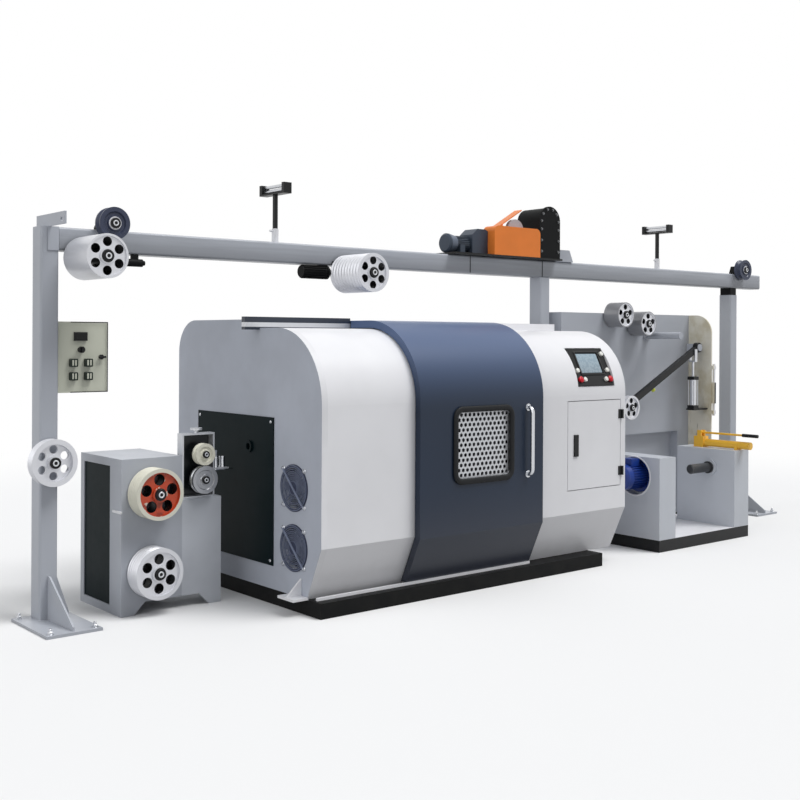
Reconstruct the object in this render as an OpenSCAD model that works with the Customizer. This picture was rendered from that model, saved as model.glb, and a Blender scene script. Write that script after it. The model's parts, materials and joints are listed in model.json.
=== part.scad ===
// Cable twisting machine: take-off capstan, twisting cabinet with a sliding curved door,
// reel payoff stand and an overhead guide beam on three posts. Sizes are in millimetres.
// +X runs along the line from the capstan to the payoff, the operator side faces -Y and
// +Z is up. The origin is on the floor under the middle of the whole line.

/* [Overhead frame] */
// Width of a post along the line
post_w = 100; // [80:1:120]
// Depth of the posts and of the beam
post_d = 120; // [100:1:150]
// Wall of the post and beam tubes
tube_wall = 6; // [4:0.5:10]
// Outer corner radius of the tubes
tube_r = 14; // [11:1:20]
// Height of the beam section
beam_h = 125; // [100:1:160]
// Clear height under the beam
beam_clear = 1955; // [1900:1:2200]
// Middle plane of the posts and the beam
frame_y = 200; // [195:1:230]
// Place of the left post along the line
left_post_x = -3235; // [-3300:1:-3200]
// Gap between the cabinet and the middle post
mid_post_gap = 92; // [60:1:120]
// Place of the right post along the line
right_post_x = 2985; // [2900:1:3050]
// Free end of the beam
beam_end_x = 3383; // [3250:1:3500]
// Width of an end post's base plate
foot_w = 296; // [270:1:340]
// Width of the middle post's base plate
mid_foot_w = 180; // [160:1:184]
// Depth of a base plate
foot_d = 470; // [440:1:520]
// How far a base plate reaches behind its post
foot_back = 10; // [5:1:30]
// Thickness of a base plate
foot_t = 15; // [10:1:25]
// Height of a gusset on its post
gusset_h = 240; // [180:1:320]
// Thickness of the gussets
gusset_t = 10; // [6:1:14]
// Diameter of an anchor bolt hole
anchor_d = 18; // [14:1:22]
// Distance of an anchor hole from the plate's edge
anchor_edge = 30; // [22:1:34]
// Length of the lug plate on the left post
lug_len = 368; // [300:1:420]
// How far the lug plate comes forward from the middle plane
lug_front = 257; // [220:1:280]
// Height of the lug plate
lug_h = 65; // [50:1:90]
// Height of the clamp between the right post and the beam
clamp_h = 62; // [45:1:80]

/* [Guide drums and rollers] */
// Diameter of the plain guide drum
guide_drum_d = 232; // [200:1:250]
// Diameter of the grooved guide drum
drum_d = 240; // [200:1:260]
// Length of a guide drum
drum_w = 290; // [240:1:300]
// Drop of the plain drum's axis under the beam's underside
guide_drop = 38; // [34:1:80]
// Drop of the grooved drum's axis under the beam's underside
drum_drop = 52; // [45:1:100]
// Place of the plain guide drum along the line
drum_x = -3055; // [-3070:1:-3000]
// Place of the grooved guide drum along the line
grooved_x = -1307; // [-1500:1:-1200]
// Number of cable grooves on the grooved drum
groove_n = 10; // [6:1:14]
// Depth of a cable groove
groove_h = 8; // [4:0.5:10]
// Diameter of a flanged guide roller
roller_d = 176; // [150:1:190]
// Width of a flanged guide roller
roller_w = 62; // [50:1:70]
// Place of the left guide roller along the line
roller_left_x = -2900; // [-2950:1:-2800]
// Place of the right guide roller along the line
roller_right_x = 3063; // [3000:1:3150]
// Height of the roller axes above the beam
roller_rise = 34; // [24:1:60]
// Diameter of the fixed shafts of drums, wheels and rollers
shaft_d = 36; // [30:1:40]
// Running clearance between a shaft and its wheel, on the radius
run_gap = 0.05; // [0.02:0.01:0.1]
// Side clearance of the wheels
side_gap = 6; // [5:1:10]

/* [Cable guides] */
// Place of the left cable guide along the line
guide_left_x = -1787; // [-1900:1:-1700]
// Place of the right cable guide along the line
guide_right_x = 1973; // [1900:1:2050]
// Length of a guide head across the beam
guide_len = 270; // [220:1:340]
// Width of a guide head
guide_w = 56; // [44:1:80]
// Height of a guide stem above its socket
guide_stem_h = 207; // [180:1:300]
// Diameter of a guide stem
guide_stem_d = 32; // [26:1:40]
// Diameter of a guide roller in the head
guide_roller_d = 22; // [16:1:28]
// Height of a stem socket on the beam
socket_h = 85; // [60:1:110]

/* [Drive unit on the beam] */
// Left end of the drive unit's bed plate
drive_x = -407; // [-480:1:-350]
// Depth of the bed plate
drive_d = 270; // [250:1:320]
// Thickness of the bed plate
drive_bed_t = 12; // [8:1:20]
// Length of the drive motor
drive_motor_l = 356; // [320:1:380]
// Diameter of the drive motor
drive_motor_d = 122; // [110:1:136]
// Length of the belt guard
guard_l = 466; // [420:1:500]
// Height of the belt guard
guard_h = 206; // [180:1:230]
// Width of the gear housing
gear_w = 220; // [180:1:240]
// Height of the gear housing
gear_h = 383; // [340:1:420]
// Depth of the gear housing
gear_d = 236; // [200:1:248]

/* [Control box] */
// Width of the control box
box_w = 284; // [240:1:320]
// Height of the control box
box_h = 380; // [320:1:440]
// Depth of the control box behind its door
box_d = 150; // [120:1:180]
// Underside of the control box above the floor
box_z = 1200; // [1100:1:1300]
// Sheet thickness of the control box
box_wall = 4; // [3:0.5:6]
// Thickness of the control box door
box_door_t = 18; // [14:1:22]

/* [Capstan stand] */
// Left side of the stand
stand_x = -2902; // [-2930:1:-2890]
// Whole width of the stand
stand_w = 612; // [590:1:640]
// Width of the tall part
tall_w = 363; // [345:1:375]
// Depth of the tall part
tall_d = 510; // [450:1:560]
// Height of the tall part
tall_h = 843; // [810:1:880]
// Height of the low part
low_h = 600; // [560:1:640]
// Depth of the low part
low_d = 190; // [170:1:240]
// Front face of the stand
stand_front = -20; // [-30:1:-10]
// Height of the arch between the feet
arch_h = 66; // [50:1:80]
// Width of a foot
stand_foot = 76; // [60:1:90]
// Diameter of the capstan wheels
capstan_d = 278; // [250:1:290]
// Width of the capstan wheels
capstan_w = 108; // [90:1:120]
// Height of the upper capstan axis
capstan_top_z = 655; // [640:1:670]
// Height of the lower capstan axis
capstan_low_z = 229; // [210:1:245]
// Distance of the capstan axes from the stand's left side
capstan_in = 172; // [165:1:190]
// Diameter of the post wheel
post_wheel_d = 248; // [220:1:270]
// Width of the post wheel
post_wheel_w = 60; // [45:1:70]
// Height of the post wheel's axis
post_wheel_z = 841; // [780:1:900]

/* [Tension unit] */
// Width of the tension frame
tension_w = 205; // [190:1:215]
// Height of the tension frame
tension_h = 362; // [350:1:380]
// Depth of the tension frame
tension_d = 56; // [50:1:90]
// Diameter of the upper tension wheel
nip_top_d = 122; // [110:1:128]
// Diameter of the lower tension wheel
nip_low_d = 156; // [140:1:158]
// Width of the tension wheels
nip_w = 46; // [36:1:52]

/* [Twisting cabinet] */
// Left end of the cabinet
cab_x = -2097; // [-2130:1:-2070]
// Length of the cabinet
cab_len = 2520; // [2460:1:2540]
// Front face of the cabinet, from the middle plane
cab_front = 725; // [690:1:760]
// Back of the cabinet, from the middle plane
cab_back = 827; // [790:1:860]
// Height of the cabinet's roof
cab_top = 1605; // [1560:1:1660]
// Step from the roof down to the front shells
roof_step = 50; // [44:1:60]
// Radius of the curved front edge of the roof
front_r = 420; // [380:1:450]
// Radius of the rear edge of the roof
rear_r = 200; // [150:1:250]
// Height at which the lower slope starts
slope_top = 372; // [330:1:420]
// Inward run of the lower slope
slope_in = 130; // [100:1:160]
// Thickness of the lined shell panels
shell_t = 40; // [30:1:50]
// Height of the black base frame
base_h = 85; // [70:1:100]
// How far the black base frame stops short of the cabinet's right end
base_short = 230; // [160:1:320]
// Height of the twist axis
twist_z = 870; // [840:1:900]
// Middle of the door rail on the roof
rail_y = -80; // [-110:1:-60]
// Share of the cabinet's length to the left of the sliding door
shell_share = 0.258; // [0.24:0.002:0.28]
// Share of the cabinet's length taken by the drive housing
drive_share = 0.353; // [0.33:0.001:0.37]
// Thickness of the sliding door
door_t = 44; // [36:1:48]
// Clearance between the door and the shells
door_gap = 6; // [5:0.5:10]
// Overlap of the door on the shells beside its opening
door_lap = 30; // [20:1:45]
// Travel of the sliding door
door_travel = 600; // [500:10:610]
// Width of the door window
win_w = 480; // [420:1:520]
// Height of the door window
win_h = 440; // [380:1:480]
// Underside of the door window above the floor
win_z = 655; // [620:1:690]
// Distance of the window from the door's left end
win_in = 258; // [230:1:280]
// Distance between neighbouring holes in the window plate
mesh_pitch = 34; // [28:1:42]
// Width across the corners of a hole in the window plate
mesh_hole = 25; // [16:1:30]
// Length of the door handle
handle_l = 410; // [340:1:480]
// How far the door handle stands off the door
handle_off = 52; // [44:1:60]
// Diameter of the cooling fans
fan_d = 260; // [220:1:270]
// Height of the lower fan
fan_low_z = 346; // [330:1:370]
// Distance between the fans
fan_step = 329; // [300:1:340]
// Distance of the fans behind the cabinet's front face
fan_in = 255; // [230:1:270]

/* [Operator side of the drive housing] */
// Width of the operator panel
hmi_w = 362; // [320:1:400]
// Height of the operator panel along its slope
hmi_h = 282; // [250:1:300]
// Height of the operator panel's middle
hmi_z = 1325; // [1310:1:1345]
// Distance of the operator panel from the housing's right end
hmi_in = 110; // [90:1:130]
// Width of the electrical door
edoor_w = 530; // [480:1:560]
// Height of the electrical door
edoor_h = 580; // [520:1:620]
// Underside of the electrical door above the floor
edoor_z = 520; // [490:1:545]
// Distance of the electrical door from the housing's right end
edoor_in = 48; // [42:1:60]
// Thickness of the electrical door
edoor_t = 22; // [16:1:28]
// Depth of the electrical compartment
elec_d = 260; // [200:1:300]

/* [Payoff stand] */
// Distance of the payoff base's reel bay from the middle post
pay_in = 295; // [280:1:310]
// Width of the reel bay with its housings
pay_w = 1095; // [1060:1:1120]
// Front of the payoff base, from the middle plane
pay_front = 680; // [650:1:720]
// Thickness of a spindle housing
spindle_box_w = 185; // [160:1:200]
// Depth of a spindle housing
spindle_box_d = 520; // [490:1:560]
// Height of the spindle housings
spindle_box_h = 662; // [650:1:680]
// Height of the spindle axis
spindle_z = 520; // [500:1:530]
// Spindle axis, from the middle plane towards the front
spindle_y = 460; // [430:1:480]
// Diameter of the reel spindles
spindle_d = 72; // [60:1:84]
// Length of the tail spindle
spindle_l = 252; // [220:1:290]
// Distance of the rear wall's left end from the middle post
wall_in = 98; // [96:1:125]
// Length of the rear wall
wall_w = 1580; // [1540:1:1600]
// Front face of the rear wall
wall_y = 70; // [60:1:80]
// Depth of the rear wall
wall_d = 170; // [150:1:200]
// Height of the rear wall
wall_h = 1700; // [1660:1:1720]
// How far the wing plate at the wall's right end comes forward
wing_d = 220; // [190:1:240]
// Underside of the wall's front sheet above the floor
wall_skirt = 750; // [720:1:770]
// Diameter of the payoff wheels
pay_wheel_d = 190; // [170:1:200]
// Length of the payoff wheels
pay_wheel_w = 140; // [120:1:150]
// Diameter of the dancer wheel
dancer_wheel_d = 182; // [160:1:190]
// Distance from the dancer arm's pivot to its wheel
dancer_len = 1024; // [980:1:1040]
// Slope of the dancer arm at rest, in degrees below level
dancer_slope = 26.4; // [25:0.1:29]
// Height of the dancer pivot
dancer_z = 1435; // [1420:1:1450]
// Distance of the dancer pivot from the wall's right end
dancer_in = 103; // [90:1:110]
// Middle plane of the dancer arm
dancer_y = -80; // [-90:1:-70]
// Length of the hand pump's tank
pump_l = 400; // [360:1:420]

/* [Hidden] */
$fn = 64;
EPS = 0.01;
seat_gap = 0.3;

beam_top = beam_clear + beam_h;
frame_front = frame_y - post_d / 2;
left_post_right = left_post_x + post_w / 2;
foot_y0 = frame_y + post_d / 2 + foot_back - foot_d;

drum_z = beam_clear - drum_drop;
guide_drum_z = beam_clear - guide_drop;
drum_plate_t = 14;
drum_back = frame_front - drum_plate_t - side_gap;
counter_y = frame_front + 10;
counter_z = beam_clear - 45;
roller_z = beam_top + roller_rise;
roller_block_d = 60;
roller_back = frame_front - side_gap;
bore_d = shaft_d + 2 * run_gap;
cap_t = 8;

guide_z = beam_top + socket_h + guide_stem_h;
socket_d = guide_stem_d + 10;
guide_bar_t = 10;
guide_block = 26;
guide_air = 4;
guide_head_h = guide_bar_t + 2 * guide_roller_d + 3 * guide_air;

drive_floor = beam_top + drive_bed_t;
guard_x = drive_x + 13 + drive_motor_l;
gear_x = guard_x + guard_l + 10;
drive_end = gear_x + gear_w + 10;
drive_front = frame_y - drive_d / 2;

box_x = left_post_right;
box_front = frame_front + tube_r + 30;
box_door_gap = 5;
box_door_y = box_front - box_door_gap - box_door_t;
box_barrel_d = 10;
box_hinge = [box_x + box_barrel_d / 2 + seat_gap, box_door_y - box_barrel_d / 2 + 2];

stand_right = stand_x + stand_w;
capstan_x = stand_x + capstan_in;
panel_edge = 44;
panel_deep = 12;
panel_y0 = stand_front + tall_d * 0.27;
panel_z0 = panel_edge;
panel_w = stand_front + tall_d - panel_edge - panel_y0;
panel_h = tall_h - panel_edge - panel_z0;
tension_x = stand_x + tall_w + side_gap;
nip_x = tension_x + tension_w / 2 + 16;
nip_low_z = low_h + nip_low_d / 2 + 25;
nip_gap = 3;
nip_top_z = nip_low_z + (nip_low_d + nip_top_d) / 2 + nip_gap;
nip_top_shaft = 30;
nip_low_shaft = 34;
tension_plate_t = 10;
tension_y = stand_front + 10;
nip_back = tension_y - side_gap;

cab_right = cab_x + cab_len;
mid_post_x = cab_right + mid_post_gap + post_w / 2;
base_len = cab_len - base_short;
door_x = cab_x + round(cab_len * shell_share);
front_top = cab_top - roof_step;
housing_x = cab_right - round(cab_len * drive_share);
door_len = housing_x + door_lap - door_x;
opening_x = door_x + door_lap;
rail_w = 36;
door_top_y = rail_y - rail_w - 5;
rail_lip = 16;
slope_len = norm([slope_in, slope_top - base_h]);
skin = door_gap + door_t;
win_x = door_x + win_in;
win_r = 40;
win_frame = 22;
fan_y = -cab_front + fan_in;
fan_hole = fan_d - 24;
cover_t = 6;
cover_y0 = -270;
cover_w = 840;
cover_z0 = 216;
cover_h = 834;
inlet_r = 20;

hmi_x = cab_right - hmi_in - hmi_w;
arc_y = -cab_front + front_r;
arc_z = front_top - front_r;
hmi_rise = asin((hmi_z - arc_z) / front_r);
hmi_deep = 30;
edoor_x = cab_right - edoor_in - edoor_w;
edoor_gap = 5;
hinge_d = 16;
hinge_x = edoor_x + edoor_w + 2 * edoor_gap;
hinge_y = -cab_front - hinge_d / 2 - seat_gap;

pay_x = mid_post_x + pay_in;
pay_right = pay_x + pay_w;
pay_base_x = mid_post_x + mid_foot_w / 2;
wall_x = mid_post_x + wall_in;
wall_right = wall_x + wall_w;
wing_t = 12;
right_box_x = pay_right - spindle_box_w;
motor_recess_d = 270;
motor_recess_deep = 70;
spindle_motor_d = 190;
spindle_motor_l = 250;
spindle_seat = 60;
pay_wheel_xs = [wall_x + 564, wall_x + 842];
pay_wheel_zs = [wall_h - 13, wall_h - 78];
pay_wheel_back = wall_y - 12;
guide_rod_x = wall_x + 1007;
guide_rod_z = wall_h - 170;
dancer_x = wall_right - dancer_in;
arm_h = 46;
arm_t = 36;
rod_reach = 62;
rod_x = dancer_x - rod_reach * cos(dancer_slope);
rod_z = dancer_z - rod_reach * sin(dancer_slope);
cylinder_z0 = 940;
cylinder_z1 = 1200;
pump_x = right_box_x + spindle_box_w / 2;
pump_over = 78;
pump_front = -pay_front - pump_over;
pump_d = 58;
lever_y = pump_front + pump_l + 40;
lever_z = spindle_box_h + 112;
lever_pin_d = 12;

frame_grey = [0.72, 0.73, 0.74];
shell_white = [0.9, 0.9, 0.91];
wall_grey = [0.63, 0.64, 0.68];
slate = [0.22, 0.25, 0.31];
black = [0.09, 0.1, 0.11];
steel = [0.75, 0.76, 0.78];
orange = [0.83, 0.46, 0.2];
red_orange = [0.75, 0.27, 0.13];
blue = [0.1, 0.2, 0.47];
beige = [0.75, 0.75, 0.67];
yellow = [0.94, 0.74, 0.27];

// Shapes used by several pieces

// Puts a shape drawn in X and Z on the plane y, with its extrusion towards the front
module on_front(x, y, z) {
    translate([x, y, z]) rotate([90, 0, 0]) children();
}

// Extrudes a section drawn in Y and Z along the line, from x over the given length
module along_x(x, length) {
    translate([x, 0, 0]) rotate([90, 0, 90]) linear_extrude(length) children();
}

// Turns a shape with a vertical axis so that its axis runs along the line
module axis_x(x, y, z) {
    translate([x, y, z]) rotate([90, 0, 90]) children();
}

module rounded_rect(w, h, r) {
    translate([r, 0]) square([w - 2 * r, h]);
    translate([0, r]) square([w, h - 2 * r]);
    for (x = [r, w - r], y = [r, h - r])
        translate([x, y]) circle(r);
}

module ring(d, hole, h) {
    difference() {
        cylinder(h = h, d = d);
        translate([0, 0, -1]) cylinder(h = h + 2, d = hole);
    }
}

// Holes of a turned web, spread evenly on a circle
module ring_of_holes(n, d, pcd, h) {
    for (i = [0:n - 1])
        rotate(i * 360 / n + 90) translate([pcd / 2, 0, -1]) cylinder(h = h + 2, d = d);
}

// Drum or wheel on a fixed shaft: rim, two webs with holes, and a hub. Axis up, back at 0
module drum(d, w, rim, web, inset, hub_d, holes, hole_d, pcd, bore) {
    ring(d, d - 2 * rim, w);
    ring(hub_d, bore, w);
    difference() {
        union() {
            translate([0, 0, inset]) ring(d - rim, hub_d - 4, web);
            translate([0, 0, w - inset - web]) ring(d - rim, hub_d - 4, web);
        }
        ring_of_holes(holes, hole_d, pcd, w);
    }
}

// Fixed shaft that starts at its back end and holds its wheel with a flat cap
module shaft(d, l, cap_d) {
    cylinder(h = l, d = d);
    translate([0, 0, l]) cylinder(h = cap_t, d = cap_d);
}

module post_tube(x, h) {
    translate([x - post_w / 2, frame_front, foot_t])
        linear_extrude(h - foot_t)
            difference() {
                rounded_rect(post_w, post_d, tube_r);
                translate([tube_wall, tube_wall])
                    rounded_rect(post_w - 2 * tube_wall, post_d - 2 * tube_wall, tube_r - tube_wall);
            }
}

// Base plate with four anchor holes
module foot_plate(x, w) {
    difference() {
        translate([x - w / 2, foot_y0, 0]) cube([w, foot_d, foot_t]);
        for (dx = [-1, 1], y = [foot_y0 + anchor_edge, foot_y0 + foot_d - anchor_edge])
            translate([x + dx * (w / 2 - anchor_edge), y, -1])
                cylinder(h = foot_t + 2, d = anchor_d);
    }
}

// Triangular gusset from a post's front face down to its base plate
module front_gusset(x) {
    tip = 20;
    along_x(x - gusset_t / 2, gusset_t)
        polygon([
            [frame_front + EPS, foot_t - EPS], [foot_y0 + tip, foot_t - EPS],
            [foot_y0 + tip, foot_t + tip], [frame_front - tip, gusset_h], [frame_front + EPS, gusset_h]
        ]);
}

// Triangular gusset from a post's right face down to its base plate
module side_gusset(x) {
    tip = 12;
    x0 = x + post_w / 2 - EPS;
    x1 = x + foot_w / 2 - tip;
    on_front(0, frame_y + gusset_t / 2, 0)
        linear_extrude(gusset_t)
            polygon([
                [x0, foot_t - EPS], [x1, foot_t - EPS], [x1, foot_t + tip],
                [x0 + tip, gusset_h], [x0, gusset_h]
            ]);
}

// Overhead frame

module left_post() color(frame_grey) {
    strap_w = 60;
    strap_t = 6;
    post_tube(left_post_x, beam_top);
    translate([left_post_x - (post_w - tube_wall) / 2, frame_front + tube_wall / 2, beam_top - tube_wall])
        linear_extrude(tube_wall) rounded_rect(post_w - tube_wall, post_d - tube_wall, tube_r - tube_wall / 2);
    on_front(left_post_x + post_w / 2 - 4 - strap_w, frame_front + EPS, beam_clear)
        cube([strap_w, beam_h, strap_t]);
    lug_plate();
    foot_plate(left_post_x, foot_w);
    front_gusset(left_post_x);
    side_gusset(left_post_x);
    on_front(left_post_x, frame_front + EPS, post_wheel_z) {
        cylinder(h = 18, d = shaft_d + 34);
        shaft(shaft_d, 18 + 2 * 1 + post_wheel_w + EPS, shaft_d + 20);
    }
}

module middle_post() color(frame_grey) {
    post_tube(mid_post_x, beam_clear);
    foot_plate(mid_post_x, mid_foot_w);
    front_gusset(mid_post_x);
}

module right_post() color(frame_grey) {
    post_tube(right_post_x, beam_clear - clamp_h);
    foot_plate(right_post_x, foot_w);
    front_gusset(right_post_x);
    side_gusset(right_post_x);
}

module overhead_beam() color(frame_grey) {
    end_t = 8;
    translate([0, 0, beam_clear])
        along_x(left_post_right, beam_end_x - left_post_right)
            translate([frame_front, 0])
                difference() {
                    rounded_rect(post_d, beam_h, tube_r);
                    translate([tube_wall, tube_wall])
                        rounded_rect(post_d - 2 * tube_wall, beam_h - 2 * tube_wall, tube_r - tube_wall);
                }
    translate([0, 0, beam_clear])
        along_x(beam_end_x - end_t, end_t)
            translate([frame_front + tube_wall / 2, tube_wall / 2])
                rounded_rect(post_d - tube_wall, beam_h - tube_wall, tube_r - tube_wall / 2);
}

// Upright plate with a hole on top of the left post
module lug_plate() {
    t = 10;
    hole_d = 24;
    hole_in = 42;
    x = left_post_x - t / 2;
    y = frame_y - lug_front;
    difference() {
        translate([x, y, beam_top - EPS]) cube([t, lug_len, lug_h]);
        axis_x(x - 1, y + hole_in, beam_top + hole_d + 2) cylinder(h = t + 2, d = hole_d);
    }
}

// Plate on the lower edge of the beam's front face with the shaft of a drum
module drum_bracket(x, z) {
    w = 190;
    lap = 30;
    foot = z - shaft_d - 14;
    on_front(x - w / 2, frame_front, foot)
        linear_extrude(drum_plate_t) rounded_rect(w, beam_clear + lap - foot, 16);
    on_front(x, frame_front - drum_plate_t + EPS, z) {
        cylinder(h = side_gap - 1 + EPS, d = shaft_d + 24);
        shaft(shaft_d, side_gap + drum_w + 1, shaft_d + 22);
    }
}

module drum_brackets() color(black) {
    drum_bracket(drum_x, guide_drum_z);
    drum_bracket(grooved_x, drum_z);
}

// Round counter beside the plain drum, held under the beam
module drum_counter() {
    d = 43;
    l = 245;
    hanger = 40;
    x = drum_x + guide_drum_d / 2 + side_gap;
    axis_x(x, counter_y, counter_z) {
        cylinder(h = l - d / 3, d = d);
        cylinder(h = l, d = d - 16);
    }
    translate([x + l - 2 * hanger, counter_y - hanger / 4, counter_z])
        cube([hanger, hanger / 2, beam_clear - counter_z]);
}

// Ribbed brake beside the grooved drum, held under the beam
module drum_brake() {
    d = 86;
    l = 198;
    rib = 7;
    ribs = 18;
    hanger = 60;
    x = grooved_x - drum_d / 2 - side_gap - l;
    axis_x(x, counter_y, counter_z) {
        cylinder(h = l, d = d - 2 * rib);
        for (i = [0:ribs - 1])
            rotate(i * 360 / ribs) translate([d / 2 - 2 * rib, -2, rib]) cube([2 * rib, 4, l - 4 * rib]);
        translate([0, 0, l - 2 * rib]) cylinder(h = 2 * rib, d = d);
    }
    translate([x + l - hanger, counter_y - hanger / 5, counter_z])
        cube([hanger, hanger / 2, beam_clear - counter_z]);
}

module roller_bracket(x) {
    w = 130;
    top = roller_rise + shaft_d / 2 + 16;
    on_front(x, frame_front + roller_block_d, beam_top)
        linear_extrude(roller_block_d)
            polygon([[-w / 2, 0], [w / 2, 0], [w / 2, 14], [40, top], [-40, top], [-w / 2, 14]]);
    on_front(x, frame_front + EPS, roller_z) {
        cylinder(h = side_gap - 1, d = shaft_d + 20);
        shaft(shaft_d, side_gap + roller_w + 1, shaft_d + 18);
    }
}

module roller_brackets() color(black) {
    roller_bracket(roller_left_x);
    roller_bracket(roller_right_x);
    drum_counter();
    drum_brake();
    inset = 8;
    translate([right_post_x - post_w / 2 + inset, frame_front + inset, beam_clear - clamp_h])
        cube([post_w - 2 * inset, post_d - 2 * inset, clamp_h]);
}

module guide_drum() color(shell_white)
    on_front(drum_x, drum_back, guide_drum_z)
        drum(guide_drum_d, drum_w, 12, 12, 8, 84, 6, 50, 150, bore_d);

// Rim outline of the grooved drum, from the bore side outwards
function groove_outline(r_in, r_out, w, n, depth, land) = concat(
    [[r_in, 0], [r_out, 0]],
    let (pitch = w / n)
    [for (i = [0:n - 1], p = [[0, land / 2], [depth, pitch / 2], [0, pitch - land / 2]])
        [r_out - p[0], i * pitch + p[1]]],
    [[r_out, w], [r_in, w]]);

module grooved_drum() color(shell_white)
    on_front(grooved_x, drum_back, drum_z) {
        drum(drum_d - 2 * groove_h - 4, drum_w, 12, 12, 8, 84, 6, 50, 150, bore_d);
        rotate_extrude()
            polygon(groove_outline(drum_d / 2 - groove_h - 10, drum_d / 2, drum_w, groove_n, groove_h, 8));
    }

// Guide roller with two flanges and a hollow between them
module flanged_roller(x) {
    flange = 10;
    hollow = 16;
    r = roller_d / 2;
    on_front(x, roller_back, roller_z)
        rotate_extrude()
            polygon([
                [bore_d / 2, 0], [r, 0], [r, flange], [r - hollow, flange + hollow],
                [r - hollow, roller_w - flange - hollow], [r, roller_w - flange], [r, roller_w],
                [r - 24, roller_w], [r - 30, roller_w - 8], [bore_d / 2 + 26, roller_w - 8],
                [bore_d / 2 + 22, roller_w], [bore_d / 2, roller_w]
            ]);
}

module left_roller() color(slate) flanged_roller(roller_left_x);

module right_roller() color(slate) flanged_roller(roller_right_x);

// Cable guides and the drive unit on the beam

// Socket with a clamp knob, stem and head of a cable guide: two end blocks on a bar
module cable_guide(x) {
    knob_d = 14;
    knob_l = 18;
    translate([x, frame_y, beam_top]) {
        cylinder(h = socket_h, d = socket_d);
        cylinder(h = socket_h + guide_stem_h + EPS, d = guide_stem_d);
    }
    axis_x(x - socket_d / 2 - knob_l, frame_y, beam_top + socket_h - knob_d)
        cylinder(h = knob_l + guide_air, d = knob_d);
    translate([x - guide_w / 2, frame_y - guide_len / 2, guide_z]) {
        cube([guide_w, guide_len, guide_bar_t]);
        for (y = [0, guide_len - guide_block])
            translate([0, y, 0]) cube([guide_w, guide_block, guide_head_h]);
    }
}

module cable_guides() color(black) {
    cable_guide(guide_left_x);
    cable_guide(guide_right_x);
}

// Two rollers above each other between the end blocks of each guide head
module cable_guide_rollers() color(steel) {
    l = guide_len - 2 * guide_block;
    first = guide_z + guide_bar_t + guide_air + guide_roller_d / 2;
    for (x = [guide_left_x, guide_right_x], z = [first, first + guide_roller_d + guide_air])
        on_front(x, frame_y + l / 2, z) cylinder(h = l, d = guide_roller_d);
}

// Bed plate with a sloped stop block at its right end
module drive_bed() color(black) {
    stop_l = 190;
    stop_top = 150;
    stop_h = 88;
    stop_d = 140;
    translate([drive_x, drive_front, beam_top]) cube([drive_end - drive_x, drive_d, drive_bed_t]);
    color(frame_grey)
        on_front(drive_end - EPS, frame_y + stop_d / 2, beam_top)
            linear_extrude(stop_d)
                polygon([[0, 0], [stop_l, 0], [stop_top, stop_h], [0, stop_h]]);
}

// Ribbed motor with a flared fan cowl, and the gear head between it and the guard
module drive_motor() color(black) {
    r = drive_motor_d / 2;
    z = drive_floor + r + 8;
    cowl = 84;
    flare = 6;
    ribs = 24;
    head_l = 150;
    head_d = 130;
    foot_l = 44;
    axis_x(drive_x + 13, frame_y, z) {
        rotate_extrude()
            polygon([
                [0, 0], [r - flare, 0], [r + flare, 12], [r + flare, 30], [r - flare, cowl], [0, cowl]
            ]);
        translate([0, 0, cowl - EPS]) {
            cylinder(h = drive_motor_l - cowl, r = r - 12);
            for (i = [0:ribs - 1])
                rotate(i * 360 / ribs) translate([r - 14, -2, 0]) cube([8, 4, drive_motor_l - cowl]);
        }
    }
    on_front(guard_x - head_l, frame_y + head_d / 2, drive_floor)
        linear_extrude(head_d)
            polygon([
                [0, 0], [head_l, 0], [head_l, guard_h - 40], [head_l - 24, guard_h - 28], [50, guard_h - 28],
                [0, guard_h - 70]
            ]);
    translate([drive_x + 110, frame_y - r, drive_floor]) cube([foot_l, 2 * r, r]);
}

// Belt guard with rounded corners, the pulley behind it and the slanted cover that rises from it
module belt_guard() color(orange) {
    d = 115;
    r = 40;
    sheet_t = 8;
    sheet_d = 72;
    sheet_x0 = 135;
    sheet_x1 = 388;
    leg = 60;
    rise = tan(30);
    pulley_x = 328;
    pulley_r = 80;
    back = drive_front + d;
    on_front(guard_x, back, drive_floor)
        linear_extrude(d)
            union() {
                rounded_rect(guard_l, guard_h, r);
                square([guard_l, r]);
            }
    on_front(guard_x, back + sheet_d, drive_floor)
        linear_extrude(sheet_d + EPS)
            polygon([
                [sheet_x0, 0], [sheet_x0 + leg, 0], [sheet_x0 + leg, guard_h + leg * rise - sheet_t],
                [sheet_x1, guard_h + (sheet_x1 - sheet_x0) * rise - sheet_t],
                [sheet_x1, guard_h + (sheet_x1 - sheet_x0) * rise], [sheet_x0, guard_h]
            ]);
    on_front(guard_x + pulley_x, back + 30, drive_floor + guard_h - 8) cylinder(h = 30 + EPS, r = pulley_r);
}

module gear_housing() color(black) {
    y_back = frame_y + gear_d / 2;
    r = gear_w / 2;
    flange = 14;
    on_front(gear_x, y_back, drive_floor) {
        linear_extrude(gear_d - flange)
            union() {
                translate([r, gear_h - r]) circle(r - 8);
                translate([8, 0]) square([gear_w - 16, gear_h - r]);
            }
        translate([0, 0, gear_d - flange - EPS])
            linear_extrude(flange)
                union() {
                    translate([r, gear_h - r]) circle(r);
                    square([gear_w, gear_h - r]);
                }
    }
}

// Control box on the left post

module control_box() color(beige)
    difference() {
        translate([box_x, box_front, box_z]) cube([box_w, box_d, box_h]);
        translate([box_x + box_wall, box_front - 1, box_z + box_wall])
            cube([box_w - 2 * box_wall, box_d - box_wall + 1, box_h - 2 * box_wall]);
    }

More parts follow.
